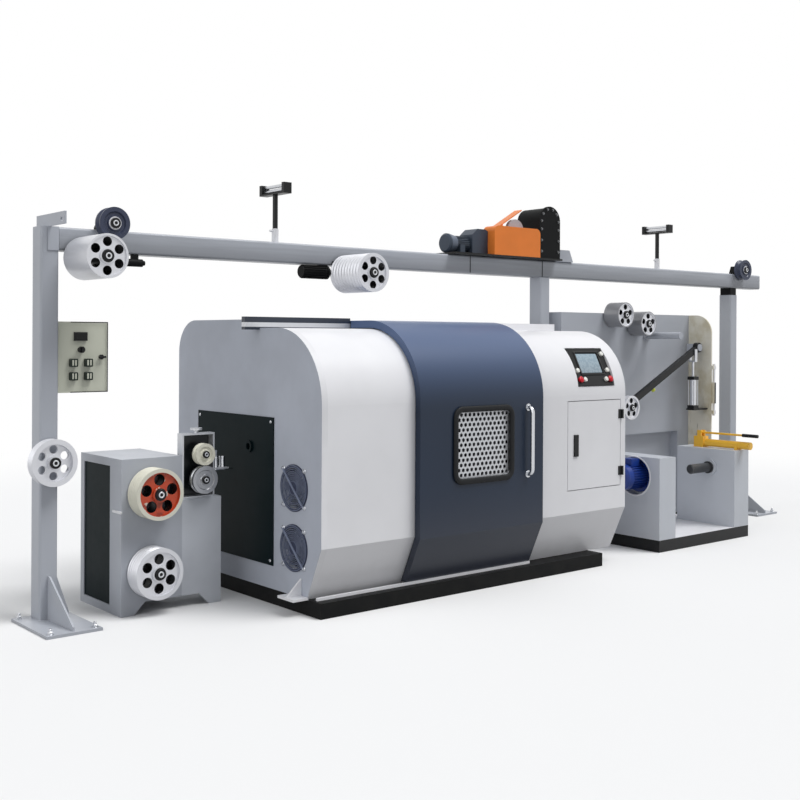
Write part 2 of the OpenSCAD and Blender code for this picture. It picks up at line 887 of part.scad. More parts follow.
// Folded door with its hinge barrels at the left edge
module control_box_door() color(beige) {
    barrel_l = 40;
    x = box_x + box_door_gap;
    w = box_w - box_door_gap;
    difference() {
        translate([x, box_door_y, box_z]) cube([w, box_door_t, box_h]);
        translate([x + box_wall, box_door_y + box_wall, box_z + box_wall])
            cube([w - 2 * box_wall, box_door_t, box_h - 2 * box_wall]);
    }
    for (z = [box_z + 50, box_z + box_h - 50 - barrel_l])
        translate([box_hinge[0], box_hinge[1], z]) cylinder(h = barrel_l, d = box_barrel_d);
}

// Meter, selector, four push buttons and the lock on the control box door
module control_instruments() color(black) {
    y = box_door_y;
    translate([box_x + 92, y - 14, box_z + box_h - 102]) cube([72, 14, 46]);
    on_front(box_x + 130, y, box_z + box_h - 150) cylinder(h = 24, d = 34);
    for (dx = [0, 84], dz = [0, 72])
        on_front(box_x + 86 + dx, y, box_z + 88 + dz) {
            cylinder(h = 8, d = 38);
            cylinder(h = 20, d = 28);
        }
    on_front(box_x + box_w - 38, y, box_z + box_h / 2) cylinder(h = 16, d = 26);
}

// Spoked sheave in front of the left post
module post_wheel() color(shell_white) {
    rim = 16;
    r = post_wheel_d / 2;
    on_front(left_post_x, frame_front - 19, post_wheel_z) {
        rotate_extrude()
            polygon([
                [r - rim - 10, 0], [r, 0], [r - rim, post_wheel_w / 2],
                [r, post_wheel_w], [r - rim - 10, post_wheel_w]
            ]);
        ring(70, bore_d, post_wheel_w);
        difference() {
            translate([0, 0, post_wheel_w / 2 - 7]) ring(post_wheel_d - 2 * rim - 18, 66, 14);
            ring_of_holes(6, 44, post_wheel_d - 2 * rim - 76, post_wheel_w);
        }
    }
}

// Capstan stand and tension unit

module capstan_stand() color(frame_grey) {
    front_t = 14;
    sill = 24;
    difference() {
        union() {
            translate([stand_x, stand_front, 0]) cube([sill, tall_d, arch_h + EPS]);
            translate([stand_x, stand_front, arch_h]) cube([tall_w, tall_d, tall_h - arch_h]);
            translate([stand_x + tall_w - EPS, stand_front, arch_h])
                cube([stand_w - tall_w, low_d, low_h - arch_h]);
            for (y = [stand_front + front_t, stand_front + tall_d]) stand_feet(y, front_t, y < tall_d / 2);
        }
        translate([stand_x - 1, panel_y0, panel_z0]) cube([panel_deep + 1, panel_w, panel_h]);
    }
    for (z = [capstan_top_z, capstan_low_z])
        on_front(capstan_x, stand_front + EPS, z) {
            cylinder(h = side_gap - 1, d = shaft_d + 24);
            shaft(shaft_d, side_gap + capstan_w + 1, shaft_d + 22);
        }
}

// Two feet with slanted inner sides under the stand, on the plane y
module stand_feet(y, t, whole) {
    right = whole ? stand_right : stand_x + tall_w;
    on_front(0, y, 0)
        linear_extrude(t) {
            polygon([
                [stand_x, 0], [stand_x + stand_foot, 0], [stand_x + stand_foot + arch_h, arch_h + EPS],
                [stand_x, arch_h + EPS]
            ]);
            polygon([
                [right, 0], [right - stand_foot, 0], [right - stand_foot - arch_h, arch_h + EPS],
                [right, arch_h + EPS]
            ]);
        }
}

module capstan_side_panel() color(slate) {
    t = 6;
    gap = 1;
    translate([stand_x + panel_deep - t, panel_y0 + gap, panel_z0 + gap])
        cube([t, panel_w - 2 * gap, panel_h - 2 * gap]);
}

// Grooved capstan wheel with a spoked web. Axis up, back at 0
module capstan_body(holes, hole_d, pcd) {
    r = capstan_d / 2;
    rim = 22;
    n = 5;
    drum(capstan_d - 16, capstan_w, rim - 8, 12, 14, 84, holes, hole_d, pcd, bore_d);
    rotate_extrude()
        polygon(groove_outline(r - rim, r, capstan_w, n, 7, 6));
}

module capstan_wheel() color(red_orange)
    on_front(capstan_x, stand_front - side_gap, capstan_top_z) capstan_body(5, 62, 158);

module lower_capstan_wheel() color(shell_white)
    on_front(capstan_x, stand_front - side_gap, capstan_low_z) capstan_body(6, 56, 158);

// Open frame of the tension unit with its screw, shafts and wire guide
module tension_frame() color(steel) {
    t = tension_plate_t;
    back = tension_y + tension_d;
    boss = back - t - nip_back - 1;
    difference() {
        translate([tension_x, tension_y, low_h]) cube([tension_w, tension_d, tension_h]);
        translate([tension_x + t, tension_y - 1, low_h + t])
            cube([tension_w - 2 * t, tension_d - t + 1, tension_h - 2 * t]);
    }
    translate([tension_x + tension_w / 2, tension_y + tension_d / 2, low_h + tension_h - EPS]) {
        cylinder(h = 26, d = 22);
        translate([0, 0, 16]) ring(66, 20, 12);
    }
    for (spot = [[nip_top_z, nip_top_shaft], [nip_low_z, nip_low_shaft]])
        on_front(nip_x, back - t + EPS, spot[0]) {
            cylinder(h = boss, d = spot[1] + 16);
            shaft(spot[1], boss + nip_w + 2, spot[1] + 8);
        }
    wire_guide();
}

// Small bracket with two guide posts beside the tension unit, on the twist axis
module wire_guide() {
    x0 = tension_x + tension_w - EPS;
    z = nip_low_z + nip_low_d / 2 - 30;
    translate([x0, stand_front + 14, z]) cube([96, 60, 8]);
    for (dx = [26, 70])
        translate([x0 + dx, stand_front + 44, z]) {
            cylinder(h = 70, d = 16);
            translate([0, 0, 24]) cylinder(h = 26, d = 28);
        }
}

// Wheel of the tension unit with a groove and a bearing seat
module nip_wheel(z, d, bore) {
    r = d / 2;
    w = nip_w;
    on_front(nip_x, nip_back, z)
        rotate_extrude()
            polygon([
                [bore / 2, 0], [r, 0], [r, w * 0.3], [r - 5, w * 0.42], [r - 5, w * 0.58],
                [r, w * 0.7], [r, w], [r * 0.72, w], [r * 0.66, w - 6],
                [bore / 2 + 14, w - 6], [bore / 2 + 10, w], [bore / 2, w]
            ]);
}

module upper_tension_wheel() color(beige)
    nip_wheel(nip_top_z, nip_top_d, nip_top_shaft + 2 * run_gap);

module lower_tension_wheel() color(steel)
    nip_wheel(nip_low_z, nip_low_d, nip_low_shaft + 2 * run_gap);

// Twisting cabinet

// Waste outside a round corner: (y, z) is the arc's centre, sy and sz point to the corner
module corner_waste(y, z, r, sy, sz) {
    difference() {
        translate([sy < 0 ? y - r - 1 : y, sz < 0 ? z - r - 1 : z]) square(r + 1);
        translate([y, z]) circle(r);
    }
}

// Section of the front shells, grown outwards by g
module front_outline(g) {
    yf = -cab_front - g;
    zt = front_top + g;
    r = front_r + g;
    shift = g * slope_len / (slope_top - base_h);
    drop = g * (slope_len - (slope_top - base_h)) / slope_in;
    difference() {
        polygon([
            [-cab_front + slope_in - shift, base_h], [yf, slope_top - drop], [yf, zt],
            [cab_back, zt], [cab_back, base_h]
        ]);
        corner_waste(yf + r, zt - r, r, -1, 1);
    }
}

// Section of the higher roof behind the rail and of the back wall, shrunk by g
module rear_outline(g) {
    zt = cab_top - g;
    yb = cab_back - g;
    r = rear_r - g;
    difference() {
        polygon([[rail_y, base_h], [rail_y, zt], [yb, zt], [yb, base_h]]);
        corner_waste(yb - r, zt - r, r, 1, 1);
    }
}

// Whole section of the cabinet
module cabinet_outline() {
    intersection() {
        front_outline(0);
        translate([-2 * cab_front, 0]) square([2 * cab_front + rail_y + EPS, 2 * cab_top]);
    }
    rear_outline(0);
}

module cabinet_base() color(black) {
    rail = 90;
    deck_t = 10;
    difference() {
        translate([cab_x, -cab_front, 0]) cube([base_len, cab_front + cab_back, base_h]);
        translate([cab_x + rail, -cab_front + rail, -1])
            cube([base_len - 2 * rail, cab_front + cab_back - 2 * rail, base_h + 2]);
    }
    translate([cab_x + rail - EPS, -cab_front + rail - EPS, base_h - deck_t])
        cube([base_len - 2 * rail + 2 * EPS, cab_front + cab_back - 2 * rail + 2 * EPS, deck_t]);
}

// Triangular bracket that ties the end wall to the base
module foot_bracket(x, y) {
    reach = 100;
    rise = 108;
    plate_w = 150;
    t = 14;
    on_front(x, y, base_h)
        linear_extrude(t) polygon([[EPS, t - EPS], [-reach, t - EPS], [EPS, rise]]);
    translate([x - reach, y - plate_w / 2, base_h]) cube([reach + EPS, plate_w, t]);
}

module left_end_wall() color(wall_grey) {
    foot_bracket(cab_x, -cab_front + slope_in + 60);
    foot_bracket(cab_x, cab_back - 90);
    difference() {
        along_x(cab_x, shell_t) cabinet_outline();
        for (i = [0, 1])
            axis_x(cab_x - 1, fan_y, fan_low_z + i * fan_step) cylinder(h = shell_t + 2, d = fan_hole);
        axis_x(cab_x - 1, 0, twist_z) translate([stand_front, 0, 0])
            cylinder(h = shell_t + 2, r = inlet_r + 14 + 2);
    }
}

// Dark cover on the end wall with the wire inlet bush
module end_cover_panel() color(slate)
    difference() {
        union() {
            translate([cab_x - cover_t, cover_y0, cover_z0]) cube([cover_t, cover_w, cover_h]);
            axis_x(cab_x - cover_t - 10, stand_front, twist_z)
                cylinder(h = cover_t + 10 + shell_t, r = inlet_r + 14);
        }
        axis_x(cab_x - cover_t - 20, stand_front, twist_z)
            cylinder(h = cover_t + shell_t + 40, r = inlet_r);
    }

// Round guards over the two fans, with the fan hubs and blades in the wall behind them
module cooling_fans() color(black)
    for (i = [0, 1])
        axis_x(cab_x, fan_y, fan_low_z + i * fan_step) fan_unit();

// One fan seen from inside the wall: local +Z runs into the cabinet
module fan_unit() {
    blades = 7;
    hub = 84;
    guard_t = 6;
    translate([0, 0, -guard_t]) {
        ring(fan_d, fan_hole - 10, guard_t);
        for (d = [hub + 20, (hub + fan_hole) / 2 + 10]) ring(d + 8, d, guard_t);
        cylinder(h = shell_t, d = hub);
        for (a = [45, 135]) rotate(a) translate([-fan_hole / 2, -4, 0]) cube([fan_hole, 8, guard_t]);
    }
    for (i = [0:blades - 1])
        rotate(i * 360 / blades)
            translate([hub / 2 - 3, 0, shell_t / 2 - 4]) rotate([28, 0, 0]) translate([0, -22, -2])
                cube([fan_hole / 2 - hub / 2 - 4, 44, 4]);
}

// Curved front shell beside the door opening
module left_shell() color(shell_white)
    along_x(cab_x + shell_t, opening_x - cab_x - shell_t)
        intersection() {
            difference() {
                front_outline(0);
                front_outline(-shell_t);
            }
            translate([-2 * cab_front, base_h]) square([2 * cab_front + rail_y, cab_top]);
        }

// Roof behind the rail and back wall over the whole twisting chamber
module rear_shell() color(shell_white)
    along_x(cab_x + shell_t, housing_x - cab_x - shell_t)
        difference() {
            rear_outline(0);
            intersection() {
                rear_outline(shell_t);
                translate([rail_y + shell_t, 0]) square([cab_back, cab_top]);
            }
            translate([rail_y - 1, 0]) square([shell_t + 2, front_top - shell_t]);
        }

// Solid drive and control housing at the right end, with its electrical compartment
// and the flat seat of the operator panel
module drive_housing() color(shell_white)
    difference() {
        along_x(housing_x, cab_right - housing_x) cabinet_outline();
        translate([edoor_x, -cab_front - 1, edoor_z]) cube([edoor_w, edoor_t + 9, edoor_h]);
        translate([edoor_x + 24, -cab_front, edoor_z + 24])
            cube([edoor_w - 48, elec_d, edoor_h - 48]);
        hmi_seat() translate([-hmi_w / 2, -hmi_h / 2, -hmi_deep]) cube([hmi_w, hmi_h, front_r]);
    }

// Places a shape on the curved front edge: local Z points out of the curve
module hmi_seat() {
    translate([hmi_x + hmi_w / 2, arc_y, arc_z])
        rotate([90 - hmi_rise, 0, 0]) translate([0, 0, front_r]) children();
}

// Operator panel with a screen and its keys
module operator_panel() color(black) {
    edge = 6;
    w = hmi_w - 2 * edge;
    h = hmi_h - 2 * edge;
    screen_w = w * 0.62;
    screen_h = h * 0.56;
    hmi_seat()
        translate([0, 0, -hmi_deep]) {
            difference() {
                translate([-w / 2, -h / 2, 0]) cube([w, h, 14]);
                translate([-screen_w / 2, h / 2 - screen_h - 34, 10]) cube([screen_w, screen_h, 5]);
            }
            for (dx = [-0.42, -0.3, 0.3, 0.42])
                translate([dx * w, -h / 2 + 40, 14 - EPS]) cylinder(h = 12, d = 26);
        }
}

// Rails that carry the sliding door: one on the roof step, one along the base
module door_rails() color(slate) {
    overhang = 100;
    rail_h = 64;
    x0 = cab_x - overhang;
    translate([x0, rail_y - rail_w, front_top]) cube([door_x - x0, rail_w, rail_h]);
    translate([door_x - EPS, rail_y - rail_w, front_top]) cube([housing_x - door_x + EPS, rail_w, skin]);
    translate([x0, rail_y - rail_w, front_top - 10]) cube([overhang, rail_w, 10 + EPS]);
    y0 = -cab_front + slope_in - skin - 20;
    translate([cab_x + 20, y0, base_h]) cube([housing_x - cab_x + door_lap - 20, 14, rail_lip]);
}

// Curved door that follows the shells outside their surface
module sliding_door() color(slate) {
    foot = base_h + rail_lip + seat_gap;
    difference() {
        along_x(door_x, door_len)
            intersection() {
                difference() {
                    front_outline(skin);
                    front_outline(door_gap);
                }
                translate([-2 * cab_front, foot]) square([2 * cab_front + door_top_y, 2 * cab_top]);
            }
        on_front(win_x, 0, win_z) linear_extrude(2 * cab_front) rounded_rect(win_w, win_h, win_r);
    }
}

// Window in the door: rounded frame around a plate with staggered hexagonal holes
module door_window() color(black) {
    proud = 8;
    plate_t = 5;
    y = -cab_front - door_gap;
    depth = door_t + proud;
    cols = floor((win_w - 2 * win_frame - mesh_hole) / mesh_pitch) + 1;
    rows = floor((win_h - 2 * win_frame - mesh_hole) / (mesh_pitch * sin(60))) + 1;
    on_front(win_x, y, win_z) {
        linear_extrude(depth)
            difference() {
                rounded_rect(win_w, win_h, win_r);
                translate([win_frame, win_frame])
                    rounded_rect(win_w - 2 * win_frame, win_h - 2 * win_frame, win_r - win_frame / 2);
            }
        translate([0, 0, depth / 2])
            linear_extrude(plate_t)
                difference() {
                    translate([win_frame - 2, win_frame - 2])
                        square([win_w - 2 * win_frame + 4, win_h - 2 * win_frame + 4]);
                    translate([win_w / 2, win_h / 2])
                        for (j = [0:rows - 1], i = [0:cols - 1 - j % 2])
                            translate([
                                (i - (cols - 1) / 2 + (j % 2) / 2) * mesh_pitch,
                                (j - (rows - 1) / 2) * mesh_pitch * sin(60)
                            ]) rotate(30) circle(d = mesh_hole, $fn = 6);
                }
    }
}

// Tube handle whose two ends bend back to the door
module door_handle() color(steel) {
    d = 26;
    bend = 34;
    x = (win_x + win_w + door_x + door_len) / 2;
    face = -cab_front - skin;
    z0 = win_z + (win_h - handle_l) / 2;
    y = face - handle_off + d / 2;
    translate([x, y, z0 + bend]) cylinder(h = handle_l - 2 * bend, d = d);
    for (end = [[z0, bend, [-90, 0, -90]], [z0 + handle_l, -bend, [90, 0, -90]]]) {
        translate([x, y + bend, end[0] + end[1]])
            rotate(end[2]) rotate_extrude(angle = 90) translate([bend, 0]) circle(d = d);
        on_front(x, face, end[0]) {
            cylinder(h = face - y - bend + EPS, d = d);
            cylinder(h = 4, d = d + 18);
        }
    }
}

module electrical_door() color(shell_white) {
    g = edoor_gap;
    translate([edoor_x + g, -cab_front, edoor_z + g])
        cube([edoor_w - 2 * g, edoor_t, edoor_h - 2 * g]);
}

// Hinge knuckles with their leaves, and the flush handle of the electrical door
module electrical_door_fittings() color(black) {
    leaf = 34;
    for (z = [edoor_z + 70, edoor_z + edoor_h - 130])
        translate([0, 0, z]) {
            translate([hinge_x, hinge_y, 0]) cylinder(h = 60, d = hinge_d);
            translate([hinge_x - leaf, -cab_front - 5, 0]) cube([leaf, 5 - seat_gap, 60]);
        }
    translate([edoor_x + 60, -cab_front - 8, edoor_z + edoor_h / 2 - 70]) cube([40, 8, 140]);
}

// Payoff stand

// T-shaped base: the reel bay in front and the wall behind
module payoff_base() color(black) {
    translate([pay_x, -pay_front, 0]) cube([pay_w, pay_front + wall_y, base_h]);
    translate([pay_base_x, wall_y - EPS, 0]) cube([wall_right - pay_base_x, wall_d, base_h]);
}

// Rear wall with a set-back skirt, the wing plate and the shafts of the two wheels
module payoff_wall() color(frame_grey) {
    wing_r = 150;
    set_back = 70;
    column = 160;
    translate([wall_x, wall_y, wall_skirt]) cube([wall_w, wall_d, wall_h - wall_skirt]);
    translate([wall_x, wall_y + set_back, base_h]) cube([wall_w, wall_d - set_back, wall_skirt - base_h + EPS]);
    translate([wall_right - column, wall_y, base_h]) cube([column, wall_d, wall_skirt - base_h + EPS]);
    along_x(wall_right - wing_t, wing_t)
        union() {
            translate([wall_y - wing_d, base_h]) square([wing_d + EPS, wall_h - wing_r - base_h]);
            translate([wall_y - wing_d + wing_r, base_h]) square([wing_d - wing_r + EPS, wall_h - base_h]);
            translate([wall_y - wing_d + wing_r, wall_h - wing_r]) circle(wing_r);
        }
    for (i = [0, 1])
        translate([pay_wheel_xs[i], 0, pay_wheel_zs[i]]) wheel_arm();
    on_front(guide_rod_x, wall_y + EPS, guide_rod_z) {
        cylinder(h = 14, d = 84);
        cylinder(h = 335, d = 54);
    }
    pivot_block();
    wing_rod();
}

// Square block on the wing plate with the dancer arm's shaft
module pivot_block() {
    w = 60;
    gap = 2;
    y = dancer_y + arm_t / 2 + gap;
    translate([dancer_x - w / 2, y, dancer_z - w / 2])
        cube([wall_right - wing_t - dancer_x + w / 2 + EPS, w, w]);
    on_front(dancer_x, y + EPS, dancer_z) shaft(shaft_d, arm_t + 2 * gap + EPS, shaft_d + 20);
}

// Upright rod with a sleeve, clamped to the wing plate's front edge
module wing_rod() {
    d = 22;
    z0 = 880;
    l = 420;
    sleeve = [100, 170];
    clamp = 28;
    x = wall_right + d / 2;
    y = wall_y - wing_d - d / 2;
    translate([x, y, z0]) {
        cylinder(h = l, d = d);
        translate([0, 0, sleeve[0]]) cylinder(h = sleeve[1], d = d + 12);
    }
    for (z = [z0 + clamp / 2, z0 + l - 1.5 * clamp])
        translate([wall_right - wing_t, y - d / 2, z]) cube([wing_t + d + 2, 1.6 * d, clamp]);
}

// Shaft of a payoff wheel with its boss
module wheel_arm() {
    on_front(0, wall_y + EPS, 0) {
        cylinder(h = 11, d = shaft_d + 30);
        shaft(shaft_d, 13 + pay_wheel_w, shaft_d + 18);
    }
}

// Spindle housing with the round seat of the spindle motor
module left_spindle_housing() color(frame_grey)
    difference() {
        translate([pay_x, -pay_front, base_h]) cube([spindle_box_w, spindle_box_d, spindle_box_h - base_h]);
        axis_x(pay_x - 1, -spindle_y, spindle_z) cylinder(h = motor_recess_deep + 1, d = motor_recess_d);
    }

module right_spindle_housing() color(frame_grey)
    difference() {
        union() {
            translate([right_box_x, -pay_front, base_h])
                cube([spindle_box_w, spindle_box_d, spindle_box_h - base_h]);
            axis_x(right_box_x - 16, -spindle_y, spindle_z) cylinder(h = 16 + EPS, d = spindle_d + 60);
        }
        axis_x(right_box_x - 17, -spindle_y, spindle_z)
            cylinder(h = 17 + spindle_seat, d = spindle_d + 2 * run_gap);
    }

// Flanged motor of the driven spindle, with ribs, a cowl and a terminal box
module spindle_motor() color(blue) {
    r = spindle_motor_d / 2;
    ribs = 30;
    cowl = 66;
    seat = pay_x + motor_recess_deep;
    axis_x(seat - spindle_motor_l, -spindle_y, spindle_z) {
        rotate_extrude()
            polygon([[0, 0], [r - 22, 0], [r - 4, 18], [r - 4, cowl], [0, cowl]]);
        translate([0, 0, cowl - EPS]) {
            cylinder(h = spindle_motor_l - cowl - 16, r = r - 14);
            for (i = [0:ribs - 1])
                rotate(i * 360 / ribs) translate([r - 16, -2, 0]) cube([12, 4, spindle_motor_l - cowl - 20]);
        }
        translate([0, 0, spindle_motor_l - 20]) cylinder(h = 20, r = r + 22);
    }
    translate([seat - spindle_motor_l + cowl + 20, -spindle_y - 46, spindle_z + r - 18]) cube([92, 92, 52]);
}

// Plain pintle that holds the reel in the right housing
module tail_spindle() color(black)
    axis_x(right_box_x - spindle_l, -spindle_y, spindle_z)
        rotate_extrude()
            polygon([
                [0, 0], [spindle_d / 2 - 8, 0], [spindle_d / 2, 8], [spindle_d / 2, spindle_l - 30],
                [spindle_d / 2 + 10, spindle_l - 30], [spindle_d / 2 + 10, spindle_l - 18],
                [spindle_d / 2, spindle_l - 18], [spindle_d / 2, spindle_l + spindle_seat - 2],
                [0, spindle_l + spindle_seat - 2]
            ]);

module payoff_wheel(i)
    on_front(pay_wheel_xs[i], pay_wheel_back, pay_wheel_zs[i])
        drum(pay_wheel_d, pay_wheel_w, 12, 10, 8, 70, 5, 42, 118, bore_d);

module left_payoff_wheel() color(shell_white) payoff_wheel(0);

module right_payoff_wheel() color(shell_white) payoff_wheel(1);

// Dancer arm from its pivot down to the shaft of its wheel
module dancer_arm() color(black)
    on_front(dancer_x, dancer_y + arm_t / 2, dancer_z)
        rotate(180 + dancer_slope) {
            difference() {
                union() {
                    translate([0, -arm_h / 2, 0]) cube([dancer_len, arm_h, arm_t]);
                    cylinder(h = arm_t, d = arm_h + 34);
                    translate([dancer_len, 0, 0]) cylinder(h = arm_t, d = arm_h + 8);
                }
                translate([0, 0, -1]) cylinder(h = arm_t + 2, d = bore_d);
            }
            ball_knob();
            translate([dancer_len, 0, arm_t - EPS]) shaft(shaft_d - 8, side_gap + 46, shaft_d + 10);
        }

// Ball knob on a pin under the arm
module ball_knob() {
    d = 34;
    pin = 12;
    translate([dancer_len * 0.647, arm_h / 2 - EPS, arm_t / 2])
        rotate([-90, 0, 0])
            rotate_extrude()
                difference() {
                    union() {
                        translate([0, d / 2]) circle(d = d);
                        square([pin / 2, d / 2]);
                    }
                    translate([-d, -d]) square([d, 3 * d]);
                }
}

module dancer_wheel() color(shell_white) {
    wx = dancer_x - dancer_len * cos(dancer_slope);
    wz = dancer_z - dancer_len * sin(dancer_slope);
    on_front(wx, dancer_y - arm_t / 2 - side_gap, wz)
        drum(dancer_wheel_d, 44, 16, 10, 10, 66, 5, 40, 108, shaft_d - 8 + 2 * run_gap);
}

// Body of the air cylinder on its shelf at the wing plate
module dancer_cylinder() color(steel) {
    d = 56;
    shelf = 76;
    shelf_t = 12;
    difference() {
        translate([rod_x, dancer_y, cylinder_z0]) cylinder(h = cylinder_z1 - cylinder_z0, d = d);
        translate([rod_x, dancer_y, cylinder_z0 + 40]) cylinder(h = cylinder_z1, d = 20 + 2 * run_gap);
    }
    for (z = [cylinder_z0, cylinder_z1 - 26])
        difference() {
            translate([rod_x - d / 2 - 4, dancer_y - d / 2 - 4, z]) cube([d + 8, d + 8, 26]);
            translate([rod_x, dancer_y, z - 1]) cylinder(h = 28, d = d - 1);
        }
    translate([rod_x - shelf / 2, dancer_y - shelf / 2, cylinder_z0 - shelf_t])
        cube([wall_right - wing_t - rod_x + shelf / 2, shelf, shelf_t + EPS]);
}

// Rod of the air cylinder with the fork beside the dancer arm
module dancer_rod() color(steel) {
    cheek = 8;
    gap = 3;
    fork_w = arm_t + 2 * gap + 2 * cheek;
    z0 = cylinder_z0 + 80;
    fork = 66;
    z1 = rod_z - arm_h / 2 - fork;
    translate([rod_x, dancer_y, z0]) cylinder(h = z1 - z0, d = 20);
    translate([rod_x - 16, dancer_y - fork_w / 2, z1 - EPS]) cube([32, fork_w, 12]);
    for (side = [-1, 1])
        translate([rod_x - 16, dancer_y + side * (fork_w - cheek) / 2 - cheek / 2, z1])
            cube([32, cheek, fork + arm_h / 2 + 14]);
}

// Hand pump with its tank lying along the top of the right spindle housing
module hand_pump() color(yellow) {
    z = spindle_box_h + pump_d / 2 + 6;
    block_h = 84;
    on_front(pump_x, pump_front + pump_l, z) cylinder(h = pump_l, d = pump_d);
    translate([pump_x - 36, pump_front + pump_l - EPS, spindle_box_h]) cube([72, 84, block_h]);
    translate([pump_x - 30, pump_front + pump_over + 20, spindle_box_h]) cube([60, 26, pump_d / 2]);
    for (side = [-1, 1])
        translate([pump_x + side * 24 - 5, lever_y - 18, spindle_box_h + block_h - EPS])
            cube([10, 36, lever_z - spindle_box_h - block_h + 18]);
    axis_x(pump_x - 24, lever_y, lever_z) cylinder(h = 48, d = lever_pin_d);
}

module pump_lever() color(yellow) {
    l = pump_l + 90;
    grip = 130;
    hub = 24;
    difference() {
        axis_x(pump_x - hub / 2, lever_y, lever_z) cylinder(h = hub, d = hub);
        axis_x(pump_x - hub, lever_y, lever_z) cylinder(h = 2 * hub, d = lever_pin_d + 2 * run_gap);
    }
    on_front(pump_x, lever_y - hub / 2 + 1, lever_z) {
        cylinder(h = l - grip, d = 16);
        translate([0, 0, l - grip - EPS]) cylinder(h = grip, d = 26);
    }
}

left_post();
middle_post();
right_post();
overhead_beam();
drum_brackets();
roller_brackets();
guide_drum();
grooved_drum();
left_roller();
right_roller();
cable_guides();
cable_guide_rollers();
drive_bed();
drive_motor();
belt_guard();
gear_housing();
control_box();
control_box_door();
control_instruments();
post_wheel();
capstan_stand();
capstan_side_panel();
capstan_wheel();
lower_capstan_wheel();
tension_frame();
upper_tension_wheel();
lower_tension_wheel();
cabinet_base();
left_end_wall();
end_cover_panel();
cooling_fans();
left_shell();
rear_shell();
drive_housing();
door_rails();
sliding_door();
door_window();
door_handle();
operator_panel();
electrical_door();
electrical_door_fittings();
payoff_base();
payoff_wall();
left_spindle_housing();
right_spindle_housing();
spindle_motor();
tail_spindle();
left_payoff_wheel();
right_payoff_wheel();
dancer_arm();
dancer_wheel();
dancer_cylinder();
dancer_rod();
hand_pump();
pump_lever();
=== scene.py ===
"""Finishes and fittings of the cable twisting machine, laid out as an add-on.

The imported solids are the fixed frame. The operators paint them, add the fittings that ride on
their bodies, and set up a plain studio stage. Lengths are in metres.
"""
import json
import math

import bmesh
import bpy
import numpy as np
from bpy.props import FloatProperty, FloatVectorProperty, PointerProperty
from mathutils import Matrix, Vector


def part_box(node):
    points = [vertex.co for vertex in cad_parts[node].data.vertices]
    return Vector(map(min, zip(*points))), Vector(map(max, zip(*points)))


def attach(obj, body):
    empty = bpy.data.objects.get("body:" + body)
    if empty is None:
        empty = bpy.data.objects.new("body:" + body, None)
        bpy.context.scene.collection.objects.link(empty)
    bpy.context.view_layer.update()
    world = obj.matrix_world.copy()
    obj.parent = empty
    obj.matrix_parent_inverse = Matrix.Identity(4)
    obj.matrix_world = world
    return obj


bl_info = {
    "name": "Cable twisting machine",
    "version": (1, 0, 0),
    "blender": (4, 5, 0),
    "location": "3D View > Sidebar > Machine",
    "description": "Paints the machine's solids and adds its fittings and stage",
    "category": "Object",
}

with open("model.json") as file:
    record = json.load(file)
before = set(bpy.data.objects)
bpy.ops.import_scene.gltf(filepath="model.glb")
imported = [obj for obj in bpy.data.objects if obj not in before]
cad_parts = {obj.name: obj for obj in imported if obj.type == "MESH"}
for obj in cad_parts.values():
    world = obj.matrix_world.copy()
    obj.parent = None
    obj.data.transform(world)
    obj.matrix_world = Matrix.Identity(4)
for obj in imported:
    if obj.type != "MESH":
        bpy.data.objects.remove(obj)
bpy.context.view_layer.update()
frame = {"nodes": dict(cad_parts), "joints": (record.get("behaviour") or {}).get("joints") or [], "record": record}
RECORD = frame["record"]
JOINTS = {joint["name"]: joint for joint in frame["joints"]}

# Directions of a piece's own x, y and z on the faces of the machine
FRONT = np.array([[1, 0, 0], [0, 0, 1], [0, -1, 0]], float)
LEFT = np.array([[0, -1, 0], [0, 0, 1], [-1, 0, 0]], float)
TOP = np.eye(3)

# Metres in one of the record's millimetres
MM = 0.001
# Outer width of the tension frame
TENSION_WIDTH = 0.205


# Properties

def srgb(red, green, blue):
    """Linear colour of an 8-bit display colour."""
    shown = np.array([red, green, blue]) / 255
    linear = np.where(shown <= 0.04045, shown / 12.92, ((shown + 0.055) / 1.055) ** 2.4)
    return tuple(float(part) for part in linear)


def colour(name, note, *display):
    """Colour property whose default is a display colour."""
    return FloatVectorProperty(
        name=name, description=note, subtype="COLOR", size=3, min=0, max=1, default=srgb(*display))


def length(name, note, default):
    """Length property in metres."""
    return FloatProperty(name=name, description=note, unit="LENGTH", default=default)


